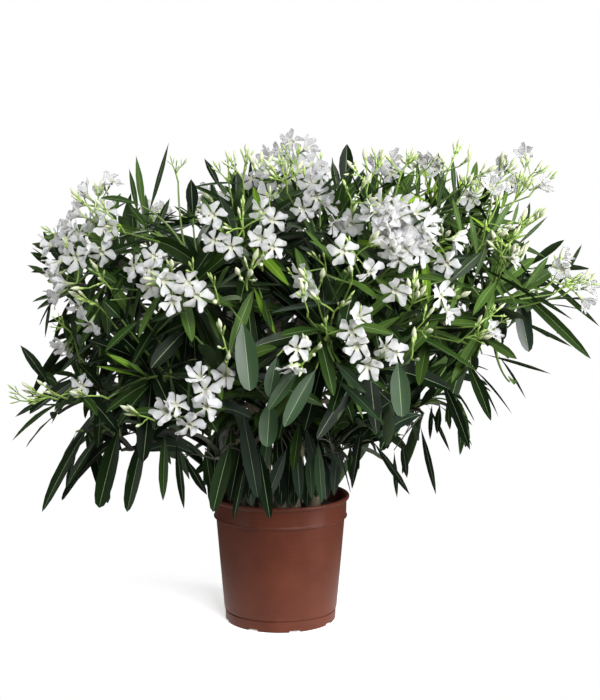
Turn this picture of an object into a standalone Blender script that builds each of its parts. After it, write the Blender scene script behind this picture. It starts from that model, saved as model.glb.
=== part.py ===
"""Potted white oleander: a many-stemmed flowering shrub standing in a round plastic nursery pot.

Everything is in metres with +Z up, and the origin is the centre of the pot's flat underside.
An azimuth is measured about +Z from the front (-Y) towards the right (+X), in degrees.

The shrub has eight outer stems and one in the middle. Each outer stem carries three masses of foliage:
a high one on its own tip, and a middle and a low one on two boughs that leave its side. The middle
stem carries three top masses and two low inner ones in the same way. Each mass is one solid: twigs that fan out from one
short stem, lance-shaped leaves in whorls of three, and trusses of open flowers and buds.
"""

import math
import random

import bmesh
import bpy
from mathutils import Matrix, Vector
from mathutils.bvhtree import BVHTree

UP = Vector((0, 0, 1))
GAP = 0.0003  # between two pieces that touch
SEED = 31

# The pot: a tapering tub with a foot band, a wider band under the rim, and a rolled rim.
POT_HEIGHT = 0.220
RIM_RADIUS = 0.120
RIM_DROP = 0.007
BAND_RADIUS = 0.1150
BAND_HEIGHT = 0.038
BODY_TOP_RADIUS = 0.1122
BODY_FOOT_RADIUS = 0.0982
FOOT_RADIUS = 0.0962
FOOT_HEIGHT = 0.020
WALL = 0.0028
FLOOR = 0.006
POT_SIDES = 28
DRAIN_SLOTS = 8
DRAIN_SLOT_SIZE = (0.020, 0.030, 0.0035)  # across, in from the edge, up

COMPOST_TOP = 0.192

# The stems, from a flat cut on the compost to a flat tip.
STEM_ROOT_RADIUS = 0.0105
STEM_FLARE = 1.45
STEM_FLARE_HEIGHT = 0.020
STEM_TIP_RADIUS = 0.0058
STEM_FOOT_CIRCLE = 0.060
STEM_SIDES = 7
BOUGH_ROOT_RADIUS = 0.0062
BOUGH_TIP_RADIUS = 0.0045
BOUGH_SIDES = 5
LIMB_STEPS = 4

# Where a middle and a low bough leave their stem, as shares of the stem's length.
BOUGH_FORKS = {"middle": 0.66, "low": 0.42}

# Foliage. A leaf stands for about three real ones, so it is a little larger than life.
LEAF_LENGTH = 0.165
LEAF_WIDTH = 0.034
LEAF_THICKNESS = 0.0022
LEAF_SECTIONS = ((0.30, 0.92), (0.68, 0.80))  # share of the length, share of the width
LEAF_ROOT_OFF_AXIS = 0.0010
WHORL_LEAVES = 3
WHORLS = ((0.34, 62), (0.76, 48))  # share of the twig's length, lean from the twig in degrees
TWIG_ROOT_RADIUS = 0.0042
TWIG_TIP_RADIUS = 0.0024
TWIG_STEPS = 2
TWIG_TRIES = 9
TWIG_SUNK = 0.003
TWIGS_IN_MASS = 3
TWIG_SIDES = 3
TWIG_SPREAD = 0.085
MASS_NECK = 0.010
LOW_TIPS = 0.42  # below this height a mass's twigs arch over
CELL_MARGIN = 0.0012  # from a mass's leaves to the plane that parts it from its neighbour
LIMB_MARGIN = 0.0025
LEAF_TRIES = 7
FLOWER_RADIUS = 0.023
FLOWER_LENGTH = 0.036
BUD_LENGTH = 0.034
BUD_RADIUS = 0.0036
TRUSS_FLOWERS = 2
TRUSS_BUDS = 1
TRUSS_SUNK = 0.0025
TRUSS_ROOT_OFF_AXIS = 0.0007

# The crown's outline: at each height, how far it reaches from the axis to the left and to the right.
CROWN = (
    (0.165, 0.390, 0.170),
    (0.200, 0.440, 0.260),
    (0.300, 0.480, 0.370),
    (0.400, 0.480, 0.450),
    (0.450, 0.475, 0.540),
    (0.560, 0.465, 0.556),
    (0.650, 0.455, 0.530),
    (0.720, 0.410, 0.475),
    (0.790, 0.340, 0.455),
    (0.842, 0.160, 0.330),
)
CROWN_DEPTH = 0.94  # its reach to the front and back, as a share of the mean of left and right

# For each outer stem: the azimuth, then the distance from the pot's axis and the height of the
# middle of each mass's tips, and last the number of flowering twigs in the high, middle and low mass.
SECTORS = {
    "front_left": (-24, (0.31, 0.660), (0.36, 0.450), (0.31, 0.325), (3, 2, 0)),
    "front_right": (23, (0.32, 0.670), (0.36, 0.510), (0.31, 0.335), (3, 2, 0)),
    "right_front": (68, (0.33, 0.715), (0.41, 0.535), (0.29, 0.355), (3, 2, 0)),
    "right_back": (108, (0.38, 0.705), (0.46, 0.550), (0.30, 0.375), (3, 2, 1)),
    "back_right": (155, (0.31, 0.680), (0.38, 0.510), (0.32, 0.350), (3, 1, 0)),
    "back_left": (-157, (0.31, 0.670), (0.38, 0.500), (0.32, 0.340), (3, 1, 0)),
    "left_back": (-112, (0.33, 0.690), (0.39, 0.500), (0.36, 0.340), (3, 1, 1)),
    "left_front": (-68, (0.35, 0.660), (0.39, 0.440), (0.37, 0.320), (3, 2, 1)),
}
# The masses on the middle stem: azimuth, distance and height of the tips, then the number of flowering
# twigs. The first is on the stem's own tip. The others are on boughs, with the share of the stem at which
# the bough leaves it, and the distance and height of the bough's end.
TOP_FRONT = (-8, 0.13, 0.725, 3)
CENTRE_BOUGHS = {
    "top_right": (118, 0.14, 0.740, 3, 0.62, (0.070, 0.575)),
    "top_left": (-128, 0.14, 0.735, 2, 0.76, (0.070, 0.575)),
    "front_inner": (1, 0.23, 0.390, 0, 0.34, (0.130, 0.405)),
    "back_inner": (181, 0.23, 0.400, 0, 0.48, (0.130, 0.415)),
}


def clear_scene():
    for old in list(bpy.data.objects):
        bpy.data.objects.remove(old)


def polar(azimuth, distance, height):
    angle = math.radians(azimuth)
    return Vector((distance * math.sin(angle), -distance * math.cos(angle), height))


def make_material(name, colour, roughness):
    made = bpy.data.materials.new(name)
    made.use_nodes = True
    shader = made.node_tree.nodes["Principled BSDF"]
    shader.inputs["Base Color"].default_value = (*colour, 1)
    shader.inputs["Roughness"].default_value = roughness
    shader.inputs["Metallic"].default_value = 0
    made.diffuse_color = (*colour, 1)
    return made


def make_object(name, points, faces, material, collection=None):
    """One closed mesh object with its faces pointing out."""
    mesh = bpy.data.meshes.new(name)
    mesh.from_pydata([tuple(p) for p in points], [], faces)
    shape = bmesh.new()
    shape.from_mesh(mesh)
    bmesh.ops.recalc_face_normals(shape, faces=shape.faces)
    shape.to_mesh(mesh)
    shape.free()
    mesh.materials.append(material)
    made = bpy.data.objects.new(name, mesh)
    (collection or bpy.context.scene.collection).objects.link(made)
    return made


def as_cutter(piece):
    piece.hide_render = True
    piece.display_type = "WIRE"
    return piece


# ---------------------------------------------------------------- the pot and its compost


def lathe(profile, sides):
    """Points and faces of a turned solid. The profile is (radius, height) from axis to axis."""
    points = [Vector((0, 0, profile[0][1]))]
    rings = profile[1:-1]
    for radius, height in rings:
        points += [polar(360 * k / sides, radius, height) for k in range(sides)]
    points.append(Vector((0, 0, profile[-1][1])))
    faces = []
    for k in range(sides):
        after = (k + 1) % sides
        faces.append((0, 1 + k, 1 + after))
        for ring in range(len(rings) - 1):
            low = 1 + ring * sides
            high = low + sides
            faces.append((low + k, high + k, high + after, low + after))
        top = 1 + (len(rings) - 1) * sides
        faces.append((top + k, len(points) - 1, top + after))
    return points, faces


def make_pot(material):
    band_foot = POT_HEIGHT - BAND_HEIGHT
    lip = RIM_RADIUS - BAND_RADIUS
    inside = WALL + 0.0004
    profile = [
        (0, 0),
        (FOOT_RADIUS - 0.003, 0),
        (FOOT_RADIUS - 0.0006, 0.0020),
        (FOOT_RADIUS, FOOT_HEIGHT - 0.0008),
        (BODY_FOOT_RADIUS, FOOT_HEIGHT),
        (BODY_TOP_RADIUS, band_foot),
        (BAND_RADIUS - 0.0008, band_foot + 0.0018),
        (BAND_RADIUS, POT_HEIGHT - RIM_DROP - 0.001),
        (RIM_RADIUS - 0.0012, POT_HEIGHT - RIM_DROP),
        (RIM_RADIUS, POT_HEIGHT - 0.6 * RIM_DROP),
        (RIM_RADIUS - 0.0010, POT_HEIGHT - 0.0008),
        (RIM_RADIUS - 0.3 * lip, POT_HEIGHT),
        (BAND_RADIUS - WALL, POT_HEIGHT - 0.0012),
        (BODY_TOP_RADIUS - inside, band_foot),
        (FOOT_RADIUS - WALL - 0.002, FLOOR),
        (0, FLOOR),
    ]
    pot = make_object("pot", *lathe(profile, POT_SIDES), material)
    for slot in range(DRAIN_SLOTS):
        cut = make_drain_cutter(slot, material)
        cutting = pot.modifiers.new(f"drain slot {slot}", "BOOLEAN")
        cutting.operation = "DIFFERENCE"
        cutting.object = cut
    pot.data.shade_smooth()
    pot.data.set_sharp_from_angle(angle=math.radians(35))
    return pot


def pot_outline():
    """The profile of a plain tub round the pot, which no leaf enters."""
    foot, rim = FOOT_RADIUS + LIMB_MARGIN, RIM_RADIUS + LIMB_MARGIN
    return [(0, 0), (foot, 0), (rim, POT_HEIGHT - RIM_DROP), (rim, POT_HEIGHT + 0.001), (0, POT_HEIGHT + 0.001)]


def make_drain_cutter(slot, material):
    """A block that cuts one slot in the foot's edge, open to the outside and below."""
    across, deep, high = DRAIN_SLOT_SIZE
    azimuth = 360 * (slot + 0.35) / DRAIN_SLOTS
    cutter = bmesh.new()
    bmesh.ops.create_cube(cutter, size=1)
    middle = FOOT_RADIUS + 0.006 - deep / 2
    place = (
        Matrix.Rotation(math.radians(azimuth), 4, "Z")
        @ Matrix.Translation((0, -middle, 0))
        @ Matrix.Diagonal((across, deep, 2 * high, 1))
    )
    cutter.transform(place)
    mesh = bpy.data.meshes.new(f"drain_cutter_{slot}")
    cutter.to_mesh(mesh)
    cutter.free()
    mesh.materials.append(material)
    made = bpy.data.objects.new(mesh.name, mesh)
    bpy.context.scene.collection.objects.link(made)
    return as_cutter(made)


def make_compost(material):
    """Fills the pot up to a flat top, with the gap all round."""
    band_foot = POT_HEIGHT - BAND_HEIGHT
    off_wall = WALL + 0.0004 + GAP
    top_radius = BODY_TOP_RADIUS - off_wall + 0.0008
    profile = [
        (0, FLOOR + GAP),
        (FOOT_RADIUS - WALL - 0.002 - GAP, FLOOR + GAP),
        (BODY_TOP_RADIUS - off_wall, band_foot),
        (top_radius, COMPOST_TOP),
        (0, COMPOST_TOP),
    ]
    return make_object("compost", *lathe(profile, POT_SIDES), material)


# ---------------------------------------------------------------- limbs


def bend(start, knee, end, steps):
    """Points along a smooth bend from start to end, drawn towards knee."""
    line = []
    for k in range(steps + 1):
        t = k / steps
        line.append(start * (1 - t) ** 2 + knee * (2 * t * (1 - t)) + end * t * t)
    return line


def tube(line, radii, sides, level_foot=False):
    """Points and faces of a tapering limb with flat ends, square to the line unless the foot is level."""
    points, faces = [], []
    across = None
    for k, centre in enumerate(line):
        along = (line[min(k + 1, len(line) - 1)] - line[max(k - 1, 0)]).normalized()
        if across is None:
            across = along.orthogonal().normalized()
        across = (across - along * across.dot(along)).normalized()
        other = along.cross(across)
        for side in range(sides):
            angle = 2 * math.pi * side / sides
            edge = centre + (across * math.cos(angle) + other * math.sin(angle)) * radii[k]
            if k == 0 and level_foot:
                edge.z = centre.z
            points.append(edge)
    for k in range(len(line) - 1):
        for side in range(sides):
            after = (side + 1) % sides
            low, high = k * sides, (k + 1) * sides
            faces.append((low + side, low + after, high + after, high + side))
    faces.append(tuple(reversed(range(sides))))
    faces.append(tuple(range(len(points) - sides, len(points))))
    return points, faces


def taper(root, tip, count):
    return [root + (tip - root) * k / (count - 1) for k in range(count)]


class Limb:
    """A stem, bough or twig: its centre line, the radius at each point and its number of sides."""

    def __init__(self, line, radii, sides):
        self.line = line
        self.radii = radii
        self.sides = sides

    def shape(self, extra=0.0):
        return tube(self.line, [radius + extra for radius in self.radii], self.sides)

    def at(self, share):
        """The point and direction that share of the way along."""
        place = share * (len(self.line) - 1)
        k = min(int(place), len(self.line) - 2)
        step = self.line[k + 1] - self.line[k]
        return self.line[k] + step * (place - k), step.normalized()

    def end(self):
        return self.line[-1], (self.line[-1] - self.line[-2]).normalized()


def make_stem(name, foot, knee, tip, material):
    line = bend(foot, knee, tip, LIMB_STEPS)
    flare_top = line[0] + (line[1] - line[0]) * (STEM_FLARE_HEIGHT / (line[1] - line[0]).length)
    line.insert(1, flare_top)
    radii = [STEM_ROOT_RADIUS * STEM_FLARE]
    radii += taper(STEM_ROOT_RADIUS, STEM_TIP_RADIUS, len(line) - 1)
    stem = make_object(name, *tube(line, radii, STEM_SIDES, level_foot=True), material)
    stem.data.shade_smooth()
    stem.data.set_sharp_from_angle(angle=math.radians(50))
    return Limb(line, radii, STEM_SIDES)


def make_bough(name, stem, fork, end, rise, material):
    """A bough from inside the stem, cut back to a saddle that lies on the stem's side."""
    start, along = stem.at(fork)
    knee = start + along * rise + (end - start) * 0.35
    line = bend(start, knee, end, LIMB_STEPS)
    limb = Limb(line, taper(BOUGH_ROOT_RADIUS, BOUGH_TIP_RADIUS, len(line)), BOUGH_SIDES)
    bough = make_object(name, *limb.shape(), material)
    saddle = make_object(f"{name}_saddle", *stem.shape(GAP / math.cos(math.pi / STEM_SIDES)), material)
    cutting = bough.modifiers.new("saddle on the stem", "BOOLEAN")
    cutting.operation = "DIFFERENCE"
    cutting.object = as_cutter(saddle)
    bough.data.shade_smooth()
    bough.data.set_sharp_from_angle(angle=math.radians(50))
    return limb


# ---------------------------------------------------------------- leaves, flowers and buds


def leaf_shape(root, along, width_way, length, width, droop):
    """A lance-shaped leaf: a six-cornered blade that droops to its tip, thickest at a keel below it."""
    face_up = width_way.cross(along).normalized()
    if face_up.z < 0:
        face_up = -face_up

    def centre(share):
        return root + along * (length * share) - UP * (droop * length * share * share)

    points = [root]
    for share, breadth in LEAF_SECTIONS:
        for side in (-0.5, 0.5):
            points.append(centre(share) + width_way * (width * breadth * side))
    points.append(centre(1.0))
    keel = centre(LEAF_SECTIONS[0][0]).lerp(centre(LEAF_SECTIONS[1][0]), 0.5)
    points.append(keel - face_up * LEAF_THICKNESS)
    faces = [(0, 1, 2), (1, 3, 4, 2), (3, 5, 4)]
    rim = (0, 1, 3, 5, 4, 2)
    faces += [(corner, 6, rim[k - 1]) for k, corner in enumerate(rim)]
    return points, faces


def flower_shape(root, along, radius, length):
    """An open flower: a tube that flares from a pointed root into five petals round a sunk throat."""
    across = along.orthogonal().normalized()
    other = along.cross(across)
    points = [root]
    petals = 5
    for k in range(2 * petals):
        angle = math.pi * k / petals
        reach = radius if k % 2 == 0 else 0.42 * radius
        lift = length * (1.06 if k % 2 == 0 else 0.94)
        points.append(root + along * lift + (across * math.cos(angle) + other * math.sin(angle)) * reach)
    points.append(root + along * (0.80 * length))
    faces = []
    for k in range(2 * petals):
        after = (k + 1) % (2 * petals)
        faces.append((0, 1 + k, 1 + after))
        faces.append((1 + k, len(points) - 1, 1 + after))
    return points, faces


def bud_shape(root, along, length, radius):
    """A closed bud: a three-sided spindle, fattest near its tip."""
    across = along.orthogonal().normalized()
    other = along.cross(across)
    points = [root]
    for k in range(3):
        angle = 2 * math.pi * k / 3
        sideways = across * math.cos(angle) + other * math.sin(angle)
        points.append(root + along * (0.68 * length) + sideways * radius)
    points.append(root + along * length)
    faces = [(0, 1, 2), (0, 2, 3), (0, 3, 1), (1, 4, 2), (2, 4, 3), (3, 4, 1)]
    return points, faces


# ---------------------------------------------------------------- masses of foliage


def as_surface(shape):
    return BVHTree.FromPolygons(*shape)


def crown_reach(point):
    """How far the crown reaches from the axis at the point's height and on its side."""
    if not CROWN[0][0] <= point.z <= CROWN[-1][0]:
        return 0.0
    left = right = 0.0
    for (low, left_low, right_low), (high, left_high, right_high) in zip(CROWN, CROWN[1:]):
        if low <= point.z <= high:
            share = (point.z - low) / (high - low)
            left = left_low + (left_high - left_low) * share
            right = right_low + (right_high - right_low) * share
    sideways = point.x / max(0.001, math.hypot(point.x, point.y))
    depth = CROWN_DEPTH * (left + right) / 2
    side = right if sideways > 0 else left
    return depth + (side - depth) * sideways * sideways


class Space:
    """The space that one mass keeps to: its cell in the crown, off the pot, the limbs and other masses' stems."""

    def __init__(self, site, other_sites, solids):
        self.site = site
        self.others = other_sites
        self.solids = solids

    def in_cell(self, point):
        if math.hypot(point.x, point.y) > crown_reach(point):
            return False
        mine = (point - self.site).length_squared
        for other in self.others:
            to_plane = ((point - other).length_squared - mine) / (2 * (other - self.site).length)
            if to_plane < CELL_MARGIN:
                return False
        return True

    def holds(self, shape):
        points, _ = shape
        if not all(self.in_cell(point) for point in points):
            return False
        surface = as_surface(shape)
        return not any(surface.overlap(solid) for solid in self.solids)


class Mass:
    """One mass in the making: shapes that a union then makes into one solid."""

    def __init__(self, name, space, materials, chance):
        self.name = name
        self.space = space
        self.materials = materials
        self.chance = chance
        self.pieces = bpy.data.collections.new(name + "_pieces")
        bpy.context.scene.collection.children.link(self.pieces)
        self.count = 0
        self.placed = []

    def add(self, shape, kind):
        self.count += 1
        label = f"{self.name}_{kind}_{self.count}"
        make_object(label, *shape, self.materials[kind], self.pieces)

    def add_if_clear(self, shape, kind):
        """Adds a leaf, flower or bud if it fits the space and crosses none of those already placed."""
        if not self.space.holds(shape):
            return False
        surface = as_surface(shape)
        if any(surface.overlap(other) for other in self.placed):
            return False
        self.placed.append(surface)
        self.add(shape, kind)
        return True


def add_leaf(mass, root, along, hang, length):
    """A leaf at root, or the nearest turn of it that fits the mass's space."""
    for attempt in range(LEAF_TRIES):
        turn = mass.chance.uniform(-1, 1) * (8 + 9 * attempt)
        way = Matrix.Rotation(math.radians(turn), 3, UP) @ along
        way = (way + UP * mass.chance.uniform(-0.10, 0.16) * attempt).normalized()
        width_way = way.cross(UP)
        if width_way.length < 0.1:
            width_way = way.orthogonal()
        roll = math.radians(mass.chance.uniform(-24, 24))
        width_way = Matrix.Rotation(roll, 3, way) @ width_way.normalized()
        size = length * (1 - 0.045 * attempt)
        width = LEAF_WIDTH * size / LEAF_LENGTH
        shape = leaf_shape(root, way, width_way, size, width, hang)
        if mass.add_if_clear(shape, "leaf"):
            return


def add_whorl(mass, centre, along, phase, lean, hang, length):
    """Three leaves round a twig, leaning out from it."""
    across = along.cross(UP)
    across = across.normalized() if across.length > 0.05 else along.orthogonal().normalized()
    for k in range(WHORL_LEAVES):
        turn = phase + 2 * math.pi * k / WHORL_LEAVES
        outward = Matrix.Rotation(turn, 3, along) @ across
        way = (along * math.cos(lean) + outward * math.sin(lean)).normalized()
        size = length * mass.chance.uniform(0.88, 1.08)
        root = centre + outward * LEAF_ROOT_OFF_AXIS
        add_leaf(mass, root, way, hang * mass.chance.uniform(0.6, 1.4), size)


def add_truss(mass, tip, along, flowers, buds):
    """Open flowers round the twig's tip, facing outwards, with buds standing up among them."""
    across = along.orthogonal().normalized()
    phase = mass.chance.uniform(0, 2 * math.pi)
    for k in range(flowers + buds):
        is_bud = k >= flowers
        lean = math.radians(mass.chance.uniform(14, 30) if is_bud else mass.chance.uniform(46, 62))
        turn = phase + 2 * math.pi * k / flowers + (math.pi / flowers if is_bud else 0)
        outward = Matrix.Rotation(turn, 3, along) @ across
        way = (along * math.cos(lean) + outward * math.sin(lean)).normalized()
        root = tip - along * TRUSS_SUNK + outward * TRUSS_ROOT_OFF_AXIS
        if is_bud:
            length = BUD_LENGTH * mass.chance.uniform(0.9, 1.3)
            shape = bud_shape(root, way, length, BUD_RADIUS)
        else:
            shape = flower_shape(root, way, FLOWER_RADIUS, FLOWER_LENGTH)
        mass.add_if_clear(shape, "bud" if is_bud else "flower")


def find_twig(mass, fork, tips, across, aim, turn, rise):
    """A twig that ends beside the point tips, at the nearest turn round it that fits the space."""
    for attempt in range(TWIG_TRIES):
        swing = turn + math.radians(mass.chance.uniform(-18, 18) * attempt)
        spread = TWIG_SPREAD * mass.chance.uniform(0.85, 1.15) * (1 - 0.07 * attempt)
        end = tips + Matrix.Rotation(swing, 3, aim) @ across * spread
        line = bend(fork, fork + (end - fork) * 0.45 + UP * rise, end, TWIG_STEPS)
        twig = Limb(line, taper(TWIG_ROOT_RADIUS, TWIG_TIP_RADIUS, len(line)), TWIG_SIDES)
        if mass.space.holds(twig.shape()):
            return twig
    return None


def dress_twig(mass, twig, hang, flowering):
    """Whorls of leaves on a twig, with a truss or a tuft of young leaves at its end."""
    mass.add(twig.shape(), "twig")
    phase = mass.chance.uniform(0, 2 * math.pi)
    tip, along = twig.end()
    if flowering:
        add_truss(mass, tip, along, TRUSS_FLOWERS, TRUSS_BUDS)
    for whorl, (share, lean) in enumerate(WHORLS):
        centre, onward = twig.at(share)
        add_whorl(mass, centre, onward, phase + whorl * math.pi / 3, math.radians(lean), hang, LEAF_LENGTH)
    if not flowering:
        add_whorl(mass, tip - along * 0.006, along, phase, math.radians(26), 0.3 * hang, 0.8 * LEAF_LENGTH)


def join_pieces(mass):
    """One Boolean union of all the mass's pieces, less any scrap and any hollow that the union seals."""
    twigs = [piece for piece in mass.pieces.objects if "_twig_" in piece.name]
    base = twigs[0]
    mass.pieces.objects.unlink(base)
    bpy.context.scene.collection.objects.link(base)
    union = base.modifiers.new("union", "BOOLEAN")
    union.operation = "UNION"
    union.solver = "MANIFOLD"
    union.operand_type = "COLLECTION"
    union.collection = mass.pieces
    bpy.context.view_layer.update()
    graph = bpy.context.evaluated_depsgraph_get()
    mesh = bpy.data.meshes.new_from_object(base.evaluated_get(graph))
    mesh.name = mass.name
    for piece in [base, *mass.pieces.objects]:
        bpy.data.objects.remove(piece)
    bpy.data.collections.remove(mass.pieces)
    keep_largest_shell(mesh)
    bpy.context.scene.collection.objects.link(bpy.data.objects.new(mass.name, mesh))


def keep_largest_shell(mesh):
    shape = bmesh.new()
    shape.from_mesh(mesh)
    left = set(shape.faces)
    shells = []
    while left:
        todo = [left.pop()]
        shell = []
        while todo:
            face = todo.pop()
            shell.append(face)
            for edge in face.edges:
                for beside in edge.link_faces:
                    if beside in left:
                        left.remove(beside)
                        todo.append(beside)
        shells.append(shell)
    shells.sort(key=len)
    for shell in shells[:-1]:
        bmesh.ops.delete(shape, geom=shell, context="FACES")
    loose = [point for point in shape.verts if not point.link_faces]
    bmesh.ops.delete(shape, geom=loose, context="VERTS")
    shape.to_mesh(mesh)
    shape.free()


def mass_stem(limb, tips):
    """The short stem of a mass, from 0.3 mm off its limb's tip, square to it, to the fork of its twigs."""
    root, along = limb.end()
    root = root + along * GAP
    neck = root + along * MASS_NECK
    reach = tips - root
    fork = neck + along * (0.08 * reach.length) + reach * 0.12
    return Limb([root, neck, fork], taper(limb.radii[-1], TWIG_ROOT_RADIUS * 1.15, 3), TWIG_SIDES)


def make_mass(name, stem, tips, flowering, space, materials, chance):
    """A mass that grows on from its stem to twigs whose ends stand round the point tips."""
    mass = Mass(name, space, materials, chance)
    mass.add(stem.shape(), "twig")
    fork, along = stem.end()
    reach = tips - stem.line[0]
    aim = reach.normalized()
    outward = Vector((reach.x, reach.y, 0)).normalized()
    across = aim.cross(UP).normalized() if abs(aim.z) < 0.95 else outward.orthogonal()
    phase = math.radians(chance.uniform(70, 110))
    hang = 0.12 + 0.50 * max(0.0, (0.62 - tips.z) / 0.30)
    rise = 0.02 if tips.z > LOW_TIPS else 0.035
    for number in range(TWIGS_IN_MASS):
        turn = phase + 2 * math.pi * number / TWIGS_IN_MASS
        twig = find_twig(mass, fork - along * TWIG_SUNK, tips, across, aim, turn, rise)
        if twig:
            dress_twig(mass, twig, hang, number < flowering)
    join_pieces(mass)


def make_plant():
    clear_scene()
    terracotta = make_material("terracotta plastic", (0.110, 0.035, 0.022), 0.38)
    peat = make_material("peat compost", (0.022, 0.014, 0.009), 0.95)
    bark = make_material("grey brown bark", (0.105, 0.075, 0.045), 0.80)
    materials = {
        "twig": make_material("green twig", (0.130, 0.240, 0.045), 0.55),
        "leaf": make_material("oleander leaf", (0.022, 0.062, 0.017), 0.42),
        "flower": make_material("white petal", (0.820, 0.830, 0.800), 0.60),
        "bud": make_material("cream bud", (0.620, 0.700, 0.360), 0.55),
    }
    make_pot(terracotta)
    make_compost(peat)

    wanted = []  # (name, limb, tips, flowering twigs)
    limbs = []
    foot_height = COMPOST_TOP + GAP
    for sector, (azimuth, high, middle, low, flowering) in SECTORS.items():
        foot = polar(azimuth, STEM_FOOT_CIRCLE, foot_height)
        knee = polar(azimuth, 0.085, 0.40)
        tip = polar(azimuth, 0.55 * high[0] + 0.01, 0.50)
        stem = make_stem(f"stem_{sector}", foot, knee, tip, bark)
        limbs.append(stem)
        wanted.append((f"foliage_{sector}_high", stem, polar(azimuth, *high), flowering[0]))
        ends = {
            "middle": (polar(azimuth, 0.70 * middle[0], middle[1] - 0.035), 0.02),
            "low": (polar(azimuth, 0.62 * low[0], low[1] + 0.005), 0.02),
        }
        targets = {"middle": (middle, flowering[1]), "low": (low, flowering[2])}
        for level, (end, rise) in ends.items():
            fork = BOUGH_FORKS[level]
            bough = make_bough(f"bough_{sector}_{level}", stem, fork, end, rise, bark)
            limbs.append(bough)
            tips, blooms = targets[level]
            wanted.append((f"foliage_{sector}_{level}", bough, polar(azimuth, *tips), blooms))

    azimuth, distance, height, blooms = TOP_FRONT
    tip = polar(azimuth, 0.35 * distance, 0.560)
    stem = make_stem("stem_middle", polar(0, 0.004, foot_height), polar(180, 0.02, 0.40), tip, bark)
    limbs.append(stem)
    wanted.append(("foliage_top_front", stem, polar(azimuth, distance, height), blooms))
    for name, (azimuth, distance, height, blooms, fork, end) in CENTRE_BOUGHS.items():
        bough = make_bough(f"bough_{name}", stem, fork, polar(azimuth, *end), 0.01, bark)
        limbs.append(bough)
        wanted.append((f"foliage_{name}", bough, polar(azimuth, distance, height), blooms))

    sites = [limb.end()[0].lerp(tips, 0.55) for _, limb, tips, _ in wanted]
    mass_stems = [mass_stem(limb, tips) for _, limb, tips, _ in wanted]
    solids = [as_surface(limb.shape(LIMB_MARGIN)) for limb in limbs]
    solids.append(as_surface(lathe(pot_outline(), POT_SIDES)))
    for number, (name, _, tips, blooms) in enumerate(wanted):
        other_sites = [site for k, site in enumerate(sites) if k != number]
        other_stems = [as_surface(s.shape(LIMB_MARGIN)) for k, s in enumerate(mass_stems) if k != number]
        space = Space(sites[number], other_sites, solids + other_stems)
        make_mass(name, mass_stems[number], tips, blooms, space, materials, random.Random(SEED + number))


make_plant()
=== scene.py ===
"""The looks of the potted white oleander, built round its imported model.

The limbs, masses and crown outline repeat the source's named sizes and rules, and the masses are carried
on from them to shoots, whorls of leaves, trusses of five-petalled flowers and buds. Metres, +Z up. An
azimuth is measured about +Z from the front (-Y) towards the right (+X), in degrees.
"""

import math
import random

import bmesh
import bpy
import numpy as np
from mathutils import Matrix, Vector, noise


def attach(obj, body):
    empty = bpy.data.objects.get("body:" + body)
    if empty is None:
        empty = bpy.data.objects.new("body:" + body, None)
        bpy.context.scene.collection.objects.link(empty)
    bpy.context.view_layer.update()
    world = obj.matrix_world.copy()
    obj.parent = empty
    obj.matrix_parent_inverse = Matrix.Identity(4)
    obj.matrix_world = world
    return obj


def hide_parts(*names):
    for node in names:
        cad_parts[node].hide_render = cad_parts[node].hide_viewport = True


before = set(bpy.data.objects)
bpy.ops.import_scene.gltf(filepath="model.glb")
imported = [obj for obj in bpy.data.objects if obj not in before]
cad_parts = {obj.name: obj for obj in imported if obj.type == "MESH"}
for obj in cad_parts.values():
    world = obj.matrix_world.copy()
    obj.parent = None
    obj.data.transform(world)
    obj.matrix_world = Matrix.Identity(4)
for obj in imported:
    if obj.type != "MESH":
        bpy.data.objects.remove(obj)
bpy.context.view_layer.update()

UP = Vector((0, 0, 1))
SEED = 7
GOLDEN_TURN = 2.39996  # radians from one flower or arm of a head to the next
ANY_TURN = 6.28  # a random turn lies between 0 and this


# ---------------------------------------------------------------- sizes repeated from the source

POT_HEIGHT = 0.220
RIM_RADIUS = 0.120
RIM_DROP = 0.007
BAND_RADIUS = 0.1150
BAND_HEIGHT = 0.038
BODY_TOP_RADIUS = 0.1122
BODY_FOOT_RADIUS = 0.0982
FOOT_RADIUS = 0.0962
FOOT_HEIGHT = 0.020
WALL = 0.0028
FLOOR = 0.006
DRAIN_SLOTS = 8
DRAIN_SLOT_SIZE = (0.020, 0.030, 0.0035)
COMPOST_TOP = 0.192
GAP = 0.0003

STEM_ROOT_RADIUS = 0.0105
STEM_FLARE = 1.45
STEM_FLARE_HEIGHT = 0.020
STEM_TIP_RADIUS = 0.0058
STEM_FOOT_CIRCLE = 0.060
STEM_KNEE = (0.085, 0.40)
STEM_TIP_HEIGHT = 0.50
BOUGH_ROOT_RADIUS = 0.0062
BOUGH_TIP_RADIUS = 0.0045
BOUGH_FORKS = {"middle": 0.66, "low": 0.42}
TWIG_ROOT_RADIUS = 0.0042
TWIG_TIP_RADIUS = 0.0024
TWIG_SPREAD = 0.085
MASS_NECK = 0.010
LOW_TIPS = 0.42

CROWN = (
    (0.165, 0.390, 0.170),
    (0.200, 0.440, 0.260),
    (0.300, 0.480, 0.370),
    (0.400, 0.480, 0.450),
    (0.450, 0.475, 0.540),
    (0.560, 0.465, 0.556),
    (0.650, 0.455, 0.530),
    (0.720, 0.410, 0.475),
    (0.790, 0.340, 0.455),
    (0.842, 0.160, 0.330),
)
CROWN_DEPTH = 0.94
# How high the crown's leaves stand across it, as (x, z), apart from the listed ones.
SKYLINE = (
    (-0.460, 0.640), (-0.400, 0.660), (-0.280, 0.710), (-0.230, 0.745), (-0.195, 0.715), (-0.165, 0.705),
    (-0.140, 0.745), (-0.080, 0.785), (0.040, 0.792), (0.115, 0.808), (0.210, 0.785), (0.310, 0.782),
    (0.350, 0.765), (0.390, 0.720), (0.430, 0.680), (0.520, 0.640),
)  # fmt: skip

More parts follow.
